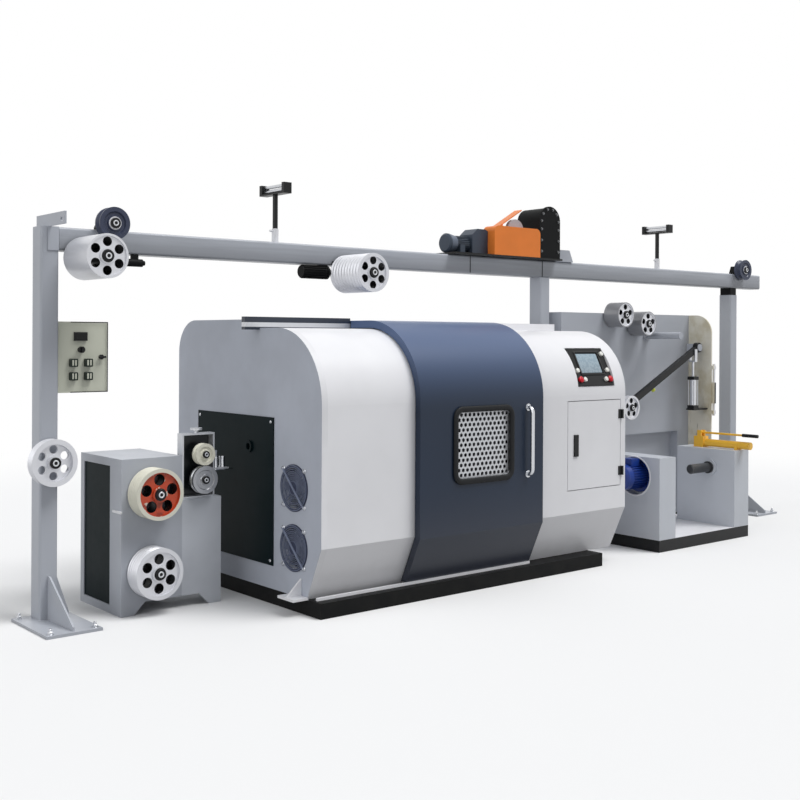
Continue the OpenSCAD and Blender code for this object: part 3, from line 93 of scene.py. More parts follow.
class MachineColours(bpy.types.PropertyGroup):
    """Paints and bare materials of the machine"""

    frame_grey: colour("Frame grey", "Paint of posts, beam and stands", 178, 182, 190)
    # Paler grey: partly the parts' own paler paint, partly painted light that lifts their shaded faces
    housing_grey_and_painted_light: colour("Housing grey", "Paint of spindle housings and the low stand", 200, 204, 211)
    shell_white: colour("Shell white", "Paint of the cabinet's shells", 236, 236, 239)
    wall_grey: colour("End wall grey", "Paint of the cabinet's end wall", 184, 189, 200)
    slate: colour("Slate", "Paint of the sliding door", 30, 43, 62)
    # Painted highlight: paler, bluer tone of the door's paint over its arc
    slate_painted_highlight: colour("Slate arc", "Paler tone of the door's paint over its arc", 82, 100, 134)
    # Painted sheen: greyer, paler tone of the door's paint at its lower edge
    slate_painted_sheen: colour("Slate foot", "Greyer tone of the door's paint at its lower edge", 70, 72, 80)
    cover_dark: colour("Cover", "Paint of the dark covers", 10, 24, 27)
    black: colour("Black", "Black paint of bases and drives", 17, 18, 19)
    steel: colour("Steel", "Ground and plated steel", 206, 208, 212)
    drum: colour("Drum metal", "Turned light metal of the drums", 224, 225, 230)
    roller: colour("Roller", "Paint of the guide rollers", 62, 68, 88)
    orange: colour("Orange", "Paint of the belt guard", 234, 130, 54)
    capstan: colour("Capstan", "Paint of the capstan's web", 192, 70, 36)
    cream: colour("Cream", "Pale rims and the upper tension wheel", 226, 224, 208)
    blue: colour("Blue", "Paint of the spindle motor", 26, 58, 140)
    beige: colour("Beige", "Paint of the control box", 206, 208, 192)
    yellow: colour("Yellow", "Paint of the hand pump", 244, 190, 64)
    rubber: colour("Rubber", "Seals, grips and black plastic", 22, 23, 25)
    red: colour("Red", "Stop buttons", 196, 30, 44)
    switch: colour("Switch", "Dark switch blocks of the control box", 30, 40, 34)
    screen: colour("Screen", "Glass of the operator screen", 120, 142, 156)
    screen_cell: colour("Screen cell", "Pale cells on the operator screen", 210, 222, 228)
    glass: colour("Glass", "Dark glass of the meter", 16, 18, 18)
    lamp: colour("Lamp", "Pale buttons and lamps", 232, 232, 226)
    fan: colour("Fan", "Plastic of the cooling fans", 60, 65, 86)
    fan_wire: colour("Fan wire", "Wires of the fan guards", 124, 132, 154)
    motor: colour("Motor", "Paint of the drive motor", 62, 71, 84)
    motor_band: colour("Motor band", "Paler band round the drive motor", 98, 108, 124)
    knob: colour("Knob", "Ball knob of the dancer arm", 206, 214, 84)
    # Black of the hubs, also used as painted shade in the drums' hollows
    hollow: colour("Hollow", "Hubs and shaded hollows of the drums", 26, 27, 29)
    inside: colour("Inside", "Shaded inside of the tension frame", 22, 26, 27)
    aged: colour("Aged paint", "Old paint of the wing plate", 226, 222, 208)
    yellowed: colour("Yellowed paint", "Yellowed patches of the wing plate", 204, 196, 172)
    stain: colour("Stain", "Dark runs on the wing plate", 70, 66, 58)
    dust: colour("Dust", "Dust near the floor", 150, 144, 132)
    floor: colour("Floor", "Pale studio floor", 238, 238, 238)


class FittingSizes(bpy.types.PropertyGroup):
    """Sizes of the fittings"""

    plate_top: length("Base plate", "Thickness of a post's base plate", 0.015)
    anchor: length("Anchor", "Radius of an anchor stud", 0.008)
    screw: length("Screw", "Radius of a cover screw's head", 0.009)
    bolt: length("Bolt", "Half width of a bolt head across its corners", 0.013)
    wire: length("Wire", "Radius of a fan guard's wires", 0.002)
    gasket: length("Gasket", "Width of the window's rubber moulding", 0.036)


def colours():
    """Colours that are set on the scene."""
    return bpy.context.scene.machine_colours


def sizes():
    """Sizes that are set on the scene."""
    return bpy.context.scene.machine_sizes


# Surfaces

def grid_faces(rows, columns, start=0):
    """Quads of a grid whose rows are closed rings, between each row and the next."""
    row = np.arange(rows - 1)[:, None] * columns + start
    here = np.arange(columns)[None, :]
    after = (here + 1) % columns
    quads = np.stack([row + here, row + after, row + columns + after, row + columns + here], -1)
    return quads.reshape(-1, 4)


class Shape:
    """Points and faces gathered from several lofts into one mesh."""

    def __init__(self):
        self.points = []
        self.faces = []
        self.count = 0

    def loft(self, rings, caps=True):
        """Skin over closed rings of equal length, rings[row, column] = (x, y, z), with flat ends."""
        rows, columns = rings.shape[:2]
        self.faces += grid_faces(rows, columns, self.count).tolist()
        if caps:
            first = np.arange(columns) + self.count
            self.faces.append(first[::-1].tolist())
            self.faces.append((first + (rows - 1) * columns).tolist())
        self.points.append(rings.reshape(-1, 3))
        self.count += rows * columns

    def piece(self, name, finish, body, smooth=35):
        """Object of the gathered skins that rides on a body."""
        mesh = bpy.data.meshes.new(name)
        mesh.from_pydata(np.concatenate(self.points).tolist(), [], self.faces)
        work = bmesh.new()
        work.from_mesh(mesh)
        bmesh.ops.remove_doubles(work, verts=work.verts, dist=1e-6)
        bmesh.ops.recalc_face_normals(work, faces=work.faces)
        work.to_mesh(mesh)
        work.free()
        mesh.shade_smooth()
        mesh.set_sharp_from_angle(angle=math.radians(smooth))
        mesh.materials.append(FINISHES[finish])
        made = bpy.data.objects.new(name, mesh)
        bpy.context.scene.collection.objects.link(made)
        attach(made, body)


def circle(radius, count=24):
    """Ring of points: radius times the cosine and sine of evenly spread angles."""
    angle = np.arange(count) * 2 * np.pi / count
    return np.stack([radius * np.cos(angle), radius * np.sin(angle)], -1)


def rounded(width, height, radius, count=6):
    """Rectangle with quarter-circle corners: each corner's centre plus the radius at its angles."""
    radius = min(radius, width / 2 - 1e-5, height / 2 - 1e-5)
    corner = np.repeat([[1, 1], [-1, 1], [-1, -1], [1, -1]], count, axis=0)
    angle = np.concatenate([np.linspace(0, np.pi / 2, count) + k * np.pi / 2 for k in range(4)])
    centre = corner * [width / 2 - radius, height / 2 - radius]
    return centre + radius * np.stack([np.cos(angle), np.sin(angle)], -1)


def put(points, at, axes):
    """Points of a piece's own frame carried to a place on the machine."""
    return np.asarray(points) @ axes + np.asarray(at, float)


def turned(profile, at, axes, count=24):
    """Rings of a turned part: each profile point (radius, height) carried round the local z axis."""
    profile = np.asarray(profile, float)
    ring = circle(1.0, count)
    flat = profile[:, None, :1] * ring[None]
    height = np.broadcast_to(profile[:, None, 1:], flat.shape[:2] + (1,))
    return put(np.concatenate([flat, height], -1), at, axes)


def plate(outline, depth, edge, at, axes):
    """Rings of a plate with softened edges: outline(inset) at the back, at both edges and in front."""
    levels = [(edge, 0.0), (0.0, edge), (0.0, depth - edge), (edge, depth)]
    rings = [np.column_stack([outline(inset), np.full(len(outline(inset)), height)])
             for inset, height in levels]
    return put(np.stack(rings), at, axes)


def slab(width, height, depth, radius, at, axes, edge=0.0015):
    """Rounded rectangular plate, centred on its place."""
    return plate(lambda inset: rounded(width - 2 * inset, height - 2 * inset, radius), depth, edge, at, axes)


def disc(radius, depth, at, axes, edge=0.0015, count=24):
    """Round plate with softened edges."""
    return plate(lambda inset: circle(radius - inset, count), depth, edge, at, axes)


def hexagon(radius, depth, at, axes):
    """Hexagonal head or nut with softened edges."""
    return plate(lambda inset: circle(radius - inset, 6), depth, radius * 0.12, at, axes)


def tube(path, radius, count=8):
    """Rings along a path: the circle of the radius in the plane across each point's direction."""
    path = np.asarray(path, float)
    along = np.gradient(path, axis=0)
    along /= np.linalg.norm(along, axis=1, keepdims=True)
    helper = np.array([0.31, 0.27, 0.91])
    side = np.cross(along, helper)
    side /= np.linalg.norm(side, axis=1, keepdims=True)
    up = np.cross(side, along)
    ring = circle(1.0, count) * radius
    return path[:, None] + ring[None, :, :1] * side[:, None] + ring[None, :, 1:] * up[:, None]


def hoop(radius, wire, at, axes, count=40, around=8):
    """Rings of a closed hoop of wire: a small circle carried round a large one, closed on itself."""
    angle = np.append(np.arange(count), 0) * 2 * np.pi / count
    small = circle(wire, around)
    reach = radius + small[:, 0]
    x = np.outer(np.cos(angle), reach)
    y = np.outer(np.sin(angle), reach)
    z = np.tile(small[:, 1], (len(angle), 1))
    return put(np.stack([x, y, z], -1), at, axes)


def moulding(outline, profile, at, axes):
    """Closed frame: the profile (outwards, height) carried round an outline along its own normals."""
    after = np.roll(outline, -1, axis=0) - np.roll(outline, 1, axis=0)
    normal = np.stack([after[:, 1], -after[:, 0]], -1)
    normal /= np.linalg.norm(normal, axis=1, keepdims=True)
    rings = outline[:, None] + normal[:, None] * profile[None, :, :1]
    height = np.broadcast_to(profile[None, :, 1:], rings.shape[:2] + (1,))
    rings = np.concatenate([rings, height], -1)
    return put(np.concatenate([rings, rings[:1]]), at, axes)


def bolt_head(shape, at, axes, size):
    """Hexagonal bolt head on a washer."""
    shape.loft(disc(size * 1.25, size * 0.22, at, axes, edge=size * 0.05))
    top = np.asarray(at, float) + axes[2] * size * 0.22
    shape.loft(hexagon(size, size * 0.8, top, axes))


def screw_head(shape, at, axes, size):
    """Low domed screw head with a dished centre."""
    profile = [(0, 0), (size, 0), (size, size * 0.25), (size * 0.8, size * 0.5), (size * 0.4, size * 0.6),
               (size * 0.35, size * 0.35), (0, size * 0.35)]
    shape.loft(turned(profile, at, axes, 16), caps=False)


# Finishes

FINISHES = {}


class Value:
    """One shader socket. Arithmetic on it adds Math nodes to its finish."""

    def __init__(self, finish, socket):
        self.finish = finish
        self.socket = socket

    def math(self, operation, first, second):
        """Math node of an operation on two values."""
        return self.finish.node("Math", {"operation": operation}, {0: first, 1: second})

    def __add__(self, other):
        return self.math("ADD", self, other)

    __radd__ = __add__

    def __sub__(self, other):
        return self.math("SUBTRACT", self, other)

    def __rsub__(self, other):
        return self.math("SUBTRACT", other, self)

    def __mul__(self, other):
        return self.math("MULTIPLY", self, other)

    __rmul__ = __mul__

    def ramp(self, low, high, start=0.0, end=1.0):
        """Smooth change from start to end as the value goes from low to high."""
        return self.finish.node(
            "MapRange", {"interpolation_type": "SMOOTHSTEP"}, {0: self, 1: low, 2: high, 3: start, 4: end})

    def above(self, limit, soft=0.0005):
        """One over a limit and zero under it, with a soft edge."""
        return self.ramp(limit - soft, limit + soft)

    def below(self, limit, soft=0.0005):
        """One under a limit and zero over it, with a soft edge."""
        return 1 - self.above(limit, soft)

    def within(self, low, high, soft=0.0008):
        """One between two limits and zero outside them."""
        return self.above(low, soft) * self.below(high, soft)


class Finish:
    """One material: its Principled shader and short ways to add nodes."""

    def __init__(self, name, shine=0.5, **sockets):
        self.material = bpy.data.materials.new(name + "_finish")
        FINISHES[name] = self.material
        self.material.use_nodes = True
        self.tree = self.material.node_tree
        self.shader = self.tree.nodes["Principled BSDF"]
        self.place = self.node("TexCoord", out="Object")
        self.feed("Specular IOR Level", shine)
        for socket, value in sockets.items():
            self.feed(socket.replace("_", " ").title(), value)

    def node(self, kind, settings=None, inputs=None, out=0):
        """New node of a kind with its settings, its socket values or links, and one output."""
        made = self.tree.nodes.new("ShaderNode" + kind)
        for key, value in (settings or {}).items():
            setattr(made, key, value)
        for key, value in (inputs or {}).items():
            self.link(made.inputs[key], value)
        return Value(self, made.outputs[out])

    def link(self, socket, value):
        """Links a value to a socket, or sets the socket's own colour or number."""
        if isinstance(value, Value):
            self.tree.links.new(value.socket, socket)
        elif socket.type == "RGBA":
            socket.default_value = (*value[:3], 1.0)
        else:
            socket.default_value = value

    def feed(self, socket, value):
        """Links or sets a socket of the Principled shader."""
        self.link(self.shader.inputs[socket], value)

    def noise(self, scale, detail=3.0, roughness=0.55):
        """Noise on Object coordinates."""
        inputs = {"Vector": self.place, "Scale": scale, "Detail": detail, "Roughness": roughness}
        return self.node("TexNoise", None, inputs, "Fac")

    def streaks(self, stretch, scale, detail=3.0):
        """Noise on coordinates stretched along the axes, for brushed or run marks."""
        where = self.node("VectorMath", {"operation": "MULTIPLY"}, {0: self.place, 1: stretch})
        return self.node("TexNoise", None, {"Vector": where, "Scale": scale, "Detail": detail}, "Fac")

    def turning_marks(self, reach):
        """Fine rings round an axis: one-dimensional noise on the distance from it."""
        inputs = {"W": reach * 900.0, "Scale": 1.0, "Detail": 2.0}
        return self.node("TexNoise", {"noise_dimensions": "1D"}, inputs, "Fac")

    def axis(self, name):
        """One of the Object coordinates."""
        return self.node("SeparateXYZ", None, {0: self.place}, name)

    def radius(self, centre, across=(1, 0, 1)):
        """Distance from a turning axis through centre."""
        offset = self.node("VectorMath", {"operation": "SUBTRACT"}, {0: self.place, 1: centre})
        flat = self.node("VectorMath", {"operation": "MULTIPLY"}, {0: offset, 1: across})
        return self.node("VectorMath", {"operation": "LENGTH"}, {0: flat}, "Value")

    def rectangle(self, left, right, bottom, top):
        """One inside a rectangle seen from the front and zero outside it."""
        return self.axis("X").within(left, right) * self.axis("Z").within(bottom, top)

    def mix(self, factor, first, second):
        """Colour between two others, by a factor."""
        return self.node("Mix", {"data_type": "RGBA"}, {0: factor, 6: first, 7: second}, 2)

    def uneven(self, base, darkest, palest, scale=1.1):
        """Colour that drifts between a darker and a paler tone of a base."""
        return self.mix(self.noise(scale, 4).ramp(0.3, 0.7), shade(base, darkest), shade(base, palest))

    def bump(self, height, strength, distance):
        """Bump of a height, fed to the shader's Normal."""
        inputs = {"Strength": strength, "Distance": distance, "Height": height}
        self.feed("Normal", self.node("Bump", None, inputs, "Normal"))

    def orange_peel(self):
        """Faint bump of sprayed paint."""
        self.bump(self.noise(240, 2), 0.05, 0.0006)


def shade(base, factor):
    """Colour made darker or lighter by a factor."""
    return tuple(min(1.0, part * factor) for part in base)


def joint_place(name):
    """Place of a joint's axis in the frame."""
    return tuple(JOINTS[name]["pos_m"])


def end_wall_face():
    """X of the end wall's outer face, behind the foot that stands out from it."""
    foot_reach = 0.1
    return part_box("left_end_wall")[0].x + foot_reach


def coat_of_paint(name, base, rough=0.38, coat=0.08, grime=0.12, shine=0.3):
    """Sprayed paint: broad uneven tone, orange-peel bump, scuffs in the gloss and dust near the floor."""
    dust_top = 0.4
    f = Finish(name, shine=shine, coat_weight=coat, coat_roughness=0.12)
    dust = f.axis("Z").ramp(0.0, dust_top, 1.0, 0.0) * f.noise(9, 6).ramp(0.3, 0.8) * grime
    f.feed("Base Color", f.mix(dust, f.uneven(base, 0.95, 1.03), colours().dust))
    scuff = f.noise(14, 6, 0.65)
    f.feed("Roughness", scuff * 0.22 + (rough - 0.11) + dust * 0.2)
    f.orange_peel()


def masked_paint(name, base, other, mask_of, rough=0.38, metal=0.0):
    """Paint whose second tone or bare metal shows where mask_of(finish) is one."""
    f = Finish(name, shine=0.25, coat_weight=0.06, coat_roughness=0.15)
    mask = mask_of(f)
    first, second = [f.uneven(paint, 0.93, 1.04, 3) for paint in (base, other)]
    f.feed("Base Color", f.mix(mask, first, second))
    f.feed("Roughness", f.noise(20, 5) * 0.2 + (rough - 0.1))
    if metal:
        f.feed("Metallic", mask * metal)
    f.orange_peel()


def turned_metal(name, base, metal, centre, across=(1, 0, 1)):
    """Lathe-turned metal: fine rings round the axis in tone, gloss and bump."""
    f = Finish(name, metallic=metal)
    rings = f.turning_marks(f.radius(centre, across))
    f.feed("Base Color", f.mix(rings * 0.6 + f.noise(9, 4) * 0.4, shade(base, 0.86), shade(base, 1.04)))
    f.feed("Roughness", rings * 0.16 + 0.24)
    f.bump(rings, 0.12, 0.0004)


def bright_metal(name, base, rough):
    """Ground or plated metal with a fine grain and faint handling marks."""
    f = Finish(name, metallic=1.0)
    grain = f.noise(180, 3, 0.5)
    smear = f.noise(11, 5)
    f.feed("Base Color", f.mix(smear, shade(base, 0.9), base))
    f.feed("Roughness", grain * 0.1 + smear * 0.12 + (rough - 0.1))
    f.bump(grain, 0.06, 0.0003)


def plastic(name, base, rough):
    """Moulded plastic, rubber or glass with a fine grain."""
    f = Finish(name, shine=0.22)
    tone = f.noise(26, 4)
    f.feed("Base Color", f.mix(tone, shade(base, 0.85), shade(base, 1.15)))
    f.feed("Roughness", tone * 0.16 + (rough - 0.08))
    f.bump(f.noise(300, 2), 0.12, 0.0004)


# Turned wheels: the black hub's radius, the rim's inner radius, and the web's depth behind the faces
WHEELS = {
    "guide_drum": (0.034, 0.104, 0.0085),
    "grooved_drum": (0.034, 0.098, 0.0085),
    "post_wheel": (0.024, 0.02, 0.02),
    "lower_capstan_wheel": (0.034, 0.117, 0.0145),
    "dancer_wheel": (0.028, 0.075, 0.0105),
    "left_payoff_wheel": (0.031, 0.083, 0.0085),
    "right_payoff_wheel": (0.031, 0.083, 0.0085),
    "capstan_wheel": (0.034, 0.117, 0.0145),
}
PLAIN_DRUMS = ["guide_drum", "grooved_drum", "post_wheel", "lower_capstan_wheel", "dancer_wheel"]
PAYOFF_WHEELS = ["left_payoff_wheel", "right_payoff_wheel"]
ROLLERS = ["left_roller", "right_roller"]


def drum_finish(name, node, base, web=None, edge=0.0, metal=0.4, worn=0.0):
    """Turned drum: fine rings in tone, gloss and bump, a black hub and painted shade in the hollows behind the
    web.

    A web of another colour reaches out to the radius edge. Where it is worn, it is smeared or bare.
    """
    hub, rim, recess = WHEELS[node]
    low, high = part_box(node)
    f = Finish(name)
    reach = f.radius(joint_place(node + "_spin"))
    rings = f.turning_marks(reach)
    # Painted shade: the hollows behind the web get the same near-black as the hub
    hollow = f.axis("Y").within(low.y + recess, high.y - recess) * reach.below(rim)
    dark = (hollow + reach.below(hub)).ramp(0.4, 0.6)
    tone = f.noise(9, 4)
    bright = f.mix(rings * 0.6 + tone * 0.4, shade(base, 0.86), shade(base, 1.04))
    if web:
        inner = f.mix(tone, shade(web, 0.94), shade(web, 1.05))
        if worn:
            smeared = f.mix(f.noise(16, 5).ramp(0.5, 0.72) * worn, inner, shade(web, 0.28))
            inner = f.mix(f.noise(24, 3).ramp(0.6, 0.66) * worn, smeared, base)
        bright = f.mix(reach.above(edge, 0.001), inner, bright)
    f.feed("Base Color", f.mix(dark, bright, colours().hollow))
    f.feed("Metallic", dark.ramp(0.0, 1.0, metal, 0.0))
    f.feed("Roughness", rings * 0.16 + 0.26)
    f.bump(rings, 0.12, 0.0004)


def window_finish(c):
    """Rubber frame around a bright perforated plate: the plate lies inside the frame's inner edges."""
    rim = 0.023
    low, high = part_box("door_window")
    f = Finish("window_plate")
    bare = f.rectangle(low.x + rim, high.x - rim, low.z + rim, high.z - rim)
    brushed = f.streaks((1, 1, 12), 60)
    bright = f.mix(brushed, shade(c.steel, 0.8), shade(c.steel, 1.05))
    f.feed("Base Color", f.mix(bare, c.rubber, bright))
    f.feed("Metallic", bare * 0.45)
    f.feed("Roughness", brushed * 0.15 + 0.34)
    f.bump(brushed, 0.08, 0.0003)


def door_finish(c):
    """Slate paint with painted light: a bluer, paler painted highlight over the arc at the top and a greyer
    painted sheen towards the lower edge.
    """
    arc_start = 0.55
    arc_end = 0.05
    foot_fade = 0.6
    low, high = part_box("sliding_door")
    f = Finish("door_paint", shine=0.06, coat_weight=0.5, coat_roughness=0.34)
    height = f.axis("Z")
    slate = f.uneven(c.slate, 0.95, 1.06)
    # Painted highlight: the slate turns paler and bluer over the arc at the top
    highlighted = f.mix(height.ramp(high.z - arc_start, high.z - arc_end), slate, c.slate_painted_highlight)
    # Painted sheen: a greyer tone fades up from the door's lower edge
    f.feed("Base Color", f.mix(height.ramp(low.z, low.z + foot_fade, 0.7, 0.0), highlighted, c.slate_painted_sheen))
    f.feed("Roughness", f.noise(14, 6, 0.65) * 0.2 + 0.3)
    f.orange_peel()


def rail_finish(c):
    """Slate rail whose running strip is bare steel at the left, and whose lower rail is pale."""
    strip_low = 0.006
    strip_high = 0.032
    between_rails = 0.55
    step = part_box("left_shell")[1].z
    door_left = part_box("sliding_door")[0].x
    f = Finish("rail_paint", coat_weight=0.2, coat_roughness=0.15)
    height = f.axis("Z")
    strip = height.within(step + strip_low, step + strip_high) * f.axis("X").below(door_left, 0.01)
    tone = f.noise(8, 4)
    dark = f.mix(tone, shade(c.slate, 0.62), shade(c.slate, 0.78))
    upper = f.mix(strip, dark, c.steel)
    f.feed("Base Color", f.mix(height.below(between_rails, 0.05), upper, c.shell_white))
    f.feed("Metallic", strip * 0.7)
    f.feed("Roughness", tone * 0.2 + 0.3)
    f.orange_peel()


def beam_finish(c):
    """Frame paint with painted shade that darkens down the beam's face, and rubbed streaks along it."""
    low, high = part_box("overhead_beam")
    f = Finish("beam_paint", coat_weight=0.1, coat_roughness=0.2)
    rubbed = f.streaks((0.6, 6, 14), 4, 5).ramp(0.35, 0.7)
    # Painted shade: the face darkens from its top edge down to its lower edge
    paint = f.mix(f.axis("Z").ramp(low.z, high.z), shade(c.frame_grey, 0.56), c.frame_grey)
    f.feed("Base Color", f.mix(rubbed * 0.35, paint, shade(c.frame_grey, 0.58)))
    f.feed("Roughness", rubbed * 0.14 + 0.34)
    f.orange_peel()


def wing_finish(c):
    """Frame paint, with yellowed stains and dark runs on the right wing plate.

    The rod that is clamped to the plate is white, with a black sleeve.
    """
    wing_thickness = 0.012
    sleeve_low = 0.98
    sleeve_high = 1.15
    runs_full = 0.75
    runs_end = 1.1
    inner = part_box("dancer_cylinder")[1].x
    outer = inner + wing_thickness
    f = Finish("payoff_wall_paint", shine=0.3, coat_weight=0.06, coat_roughness=0.2)
    across = f.axis("X")
    height = f.axis("Z")
    wing = across.above(inner - 0.0005, 0.0003)
    rod = across.above(outer + 0.0009, 0.0003)
    sleeve = rod * height.within(sleeve_low, sleeve_high)
    aged = f.mix(f.noise(6, 6).ramp(0.4, 0.65), c.aged, c.yellowed)
    runs = f.streaks((9, 9, 1.2), 5, 5).ramp(0.6, 0.72) * height.ramp(runs_full, runs_end, 1.0, 0.0)
    stained = f.mix(runs * 0.7, aged, c.stain)
    fitted = f.mix(sleeve, f.mix(rod, stained, c.shell_white), c.rubber)
    f.feed("Base Color", f.mix(wing, f.uneven(c.frame_grey, 0.94, 1.03), fitted))
    f.feed("Roughness", f.noise(14, 6) * 0.24 + 0.3)
    f.orange_peel()


def tension_finish(c):
    """Plated steel frame whose inside, between its walls and behind its front edges, is painted shade, nearly
    black.
    """
    wall = 0.0105
    height = 0.362
    front = -0.01
    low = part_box("tension_frame")[0]
    right = low.x + TENSION_WIDTH
    f = Finish("tension_metal")
    inside = f.rectangle(low.x + wall, right - wall, low.z + wall, low.z + height - wall)
    # Painted shade: the frame's inside is darkened to nearly black
    dark = inside * f.axis("Y").above(front + 0.002, 0.001)
    lines = f.streaks((1, 1, 8), 120)
    bright = f.mix(lines, shade(c.steel, 0.9), shade(c.steel, 1.1))
    f.feed("Base Color", f.mix(dark, bright, c.inside))
    f.feed("Metallic", dark.ramp(0.0, 1.0, 0.5, 0.0))
    f.feed("Roughness", lines * 0.12 + 0.24)
    f.bump(lines, 0.06, 0.0003)


def screen_finish(c):
    """Operator screen: a pale blue field that darkens towards the lower edge, under gloss."""
    low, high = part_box("operator_panel")
    f = Finish("screen_glass", coat_weight=1.0, coat_roughness=0.04, roughness=0.2)
    field = f.mix(f.axis("Z").ramp(low.z, high.z), shade(c.screen, 0.5), shade(c.screen, 1.1))
    cells = f.noise(60, 1).ramp(0.48, 0.52) * 0.12
    f.feed("Base Color", f.mix(cells, field, c.screen_cell))
    f.feed("Emission Color", field)
    f.feed("Emission Strength", 0.25)


def stand_mask(f):
    """Low part of the capstan stand, to the right of its tall part, which takes the paler grey that is partly
    painted light.
    """
    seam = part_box("tension_frame")[0].x - 0.005
    return f.axis("X").above(seam, 0.003)


def wall_mask(f):
    """Edges of the end wall behind its face, and the foot in front of it."""
    face = end_wall_face()
    across = f.axis("X")
    return across.above(face + 0.0006, 0.0003) + across.below(face - 0.003, 0.001)


def guide_mask(f):
    """Sockets of the cable guides, on the beam under their stems."""
    socket_height = 0.0865
    return f.axis("Z").below(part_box("overhead_beam")[1].z + socket_height)


def bed_mask(f):
    """Stop block at the right end of the drive bed."""
    stop_length = 0.191
    return f.axis("X").above(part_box("drive_bed")[1].x - stop_length)


def motor_mask(f):
    """Band round the left end of the drive motor."""
    band_start = 0.02
    band_end = 0.08
    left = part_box("drive_motor")[0].x
    return f.axis("X").within(left + band_start, left + band_end)


def guard_mask(f):
    """Pulley that shows under the belt guard's sloped sheet."""
    pulley_front = 0.1145
    pulley_along = 0.328
    pulley_up = 0.198
    pulley_radius = 0.081
    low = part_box("belt_guard")[0]
    centre = (low.x + pulley_along, 0, low.z + pulley_up)
    return f.axis("Y").above(low.y + pulley_front, 0.0002) * f.radius(centre).below(pulley_radius)


def lever_mask(f):
    """Grip at the front end of the pump's lever."""
    grip = 0.13
    return f.axis("Y").below(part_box("pump_lever")[0].y + grip, 0.001)


def arm_mask(f):
    """Ball knob under the dancer arm."""
    from_pivot = np.array([-0.574, 0.0, -0.333])
    knob_radius = 0.027
    centre = joint_place("dancer_swing") + from_pivot
    return f.radius(tuple(centre), (1, 1, 1)).below(knob_radius, 0.001)


def cylinder_mask(f):
    """Bare barrel between the end caps of the air cylinder."""
    lower_cap = 0.04
    upper_cap = 0.027
    low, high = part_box("dancer_cylinder")
    return f.axis("Z").within(low.z + lower_cap, high.z - upper_cap)


def deck_mask(f):
    """Top face of the payoff base."""
    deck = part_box("payoff_base")[1].z
    return f.axis("Z").above(deck - 0.0007, 0.0003)


class MACHINE_OT_finishes(bpy.types.Operator):
    """Makes every finish and paints the solids with it"""

    bl_idname = "machine.finishes"
    bl_label = "Finishes"

    def execute(self, context):
        c = colours()
        self.paints(c)
        self.two_tone_paints(c)
        self.metals(c)
        self.plastics(c)
        for make in (door_finish, window_finish, rail_finish, beam_finish, wing_finish, tension_finish,
                     screen_finish):
            make(c)
        for finish, nodes in NODE_FINISHES.items():
            for node in nodes:
                materials = frame["nodes"][node].data.materials
                materials.clear()
                materials.append(FINISHES[finish])
        return {"FINISHED"}

    def paints(self, c):
        """Sprayed paints of one colour."""
        coat_of_paint("frame_paint", c.frame_grey)
        # Paler grey, partly painted light on the spindle housings
        coat_of_paint("housing_paint", c.housing_grey_and_painted_light)
        coat_of_paint("shell_paint", c.shell_white, rough=0.34, coat=0.1)
        coat_of_paint("cover_paint", c.cover_dark, rough=0.4, coat=0.0, grime=0.0, shine=0.05)
        coat_of_paint("black_paint", c.black, rough=0.5, coat=0.0, grime=0.02, shine=0.1)
        coat_of_paint("blue_paint", c.blue, rough=0.34, coat=0.3, grime=0.2)
        coat_of_paint("beige_paint", c.beige)
        coat_of_paint("cream_paint", c.cream, grime=0.0)
        coat_of_paint("pump_paint", c.yellow, rough=0.34, coat=0.3, grime=0.0)

    def two_tone_paints(self, c):
        """Paints with a second colour or bare metal."""
        hub_ring = (0.028, 0.036)
        masked_paint("stand_paint", c.frame_grey, c.housing_grey_and_painted_light, stand_mask)
        masked_paint("wall_paint", c.wall_grey, c.shell_white, wall_mask)
        masked_paint("guide_paint", c.black, c.shell_white, guide_mask)
        masked_paint("bed_paint", c.black, c.frame_grey, bed_mask)
        masked_paint("motor_paint", c.motor, c.motor_band, motor_mask)
        masked_paint("guard_paint", c.orange, c.frame_grey, guard_mask, rough=0.34)
        masked_paint("lever_paint", c.yellow, c.rubber, lever_mask)
        masked_paint("arm_paint", c.black, c.knob, arm_mask)
        masked_paint("cylinder_paint", c.rubber, c.steel, cylinder_mask, metal=0.9)
        masked_paint("payoff_base_paint", c.black, c.shell_white, deck_mask)
        for node in ROLLERS:
            masked_paint(node + "_paint", c.roller, c.shell_white,
                         lambda f: f.radius(joint_place(node + "_spin")).within(*hub_ring), rough=0.3)

    def metals(self, c):
        """Bright steel, and the turned metal of the wheels and the spindle."""
        bright_metal("ground_steel", c.steel, 0.3)
        bright_metal("plated_steel", c.steel, 0.14)
        bright_metal("dark_steel", shade(c.steel, 0.3), 0.34)
        for node in PLAIN_DRUMS:
            drum_finish(node + "_metal", node, c.drum)
        for node in PAYOFF_WHEELS:
            drum_finish(node + "_metal", node, shade(c.drum, 0.45), web=c.drum, edge=0.087)
        drum_finish("capstan_paint", "capstan_wheel", c.cream, web=c.capstan, edge=0.118, metal=0.0, worn=0.8)
        turned_metal("nip_metal", shade(c.steel, 0.75), 0.9, joint_place("lower_tension_wheel_spin"))
        turned_metal("spindle_metal", shade(c.steel, 0.12), 0.6, joint_place("tail_spindle_spin"), (0, 1, 1))

    def plastics(self, c):
        """Rubber, plastic and dark glass."""
        plastic("rubber", c.rubber, 0.6)
        plastic("black_plastic", c.rubber, 0.36)
        plastic("red_plastic", c.red, 0.3)
        plastic("switch_plastic", c.switch, 0.34)
        plastic("dark_glass", c.glass, 0.16)
        plastic("white_plastic", c.lamp, 0.3)
        plastic("fan_plastic", c.fan, 0.4)
        plastic("wire_plastic", c.fan_wire, 0.36)


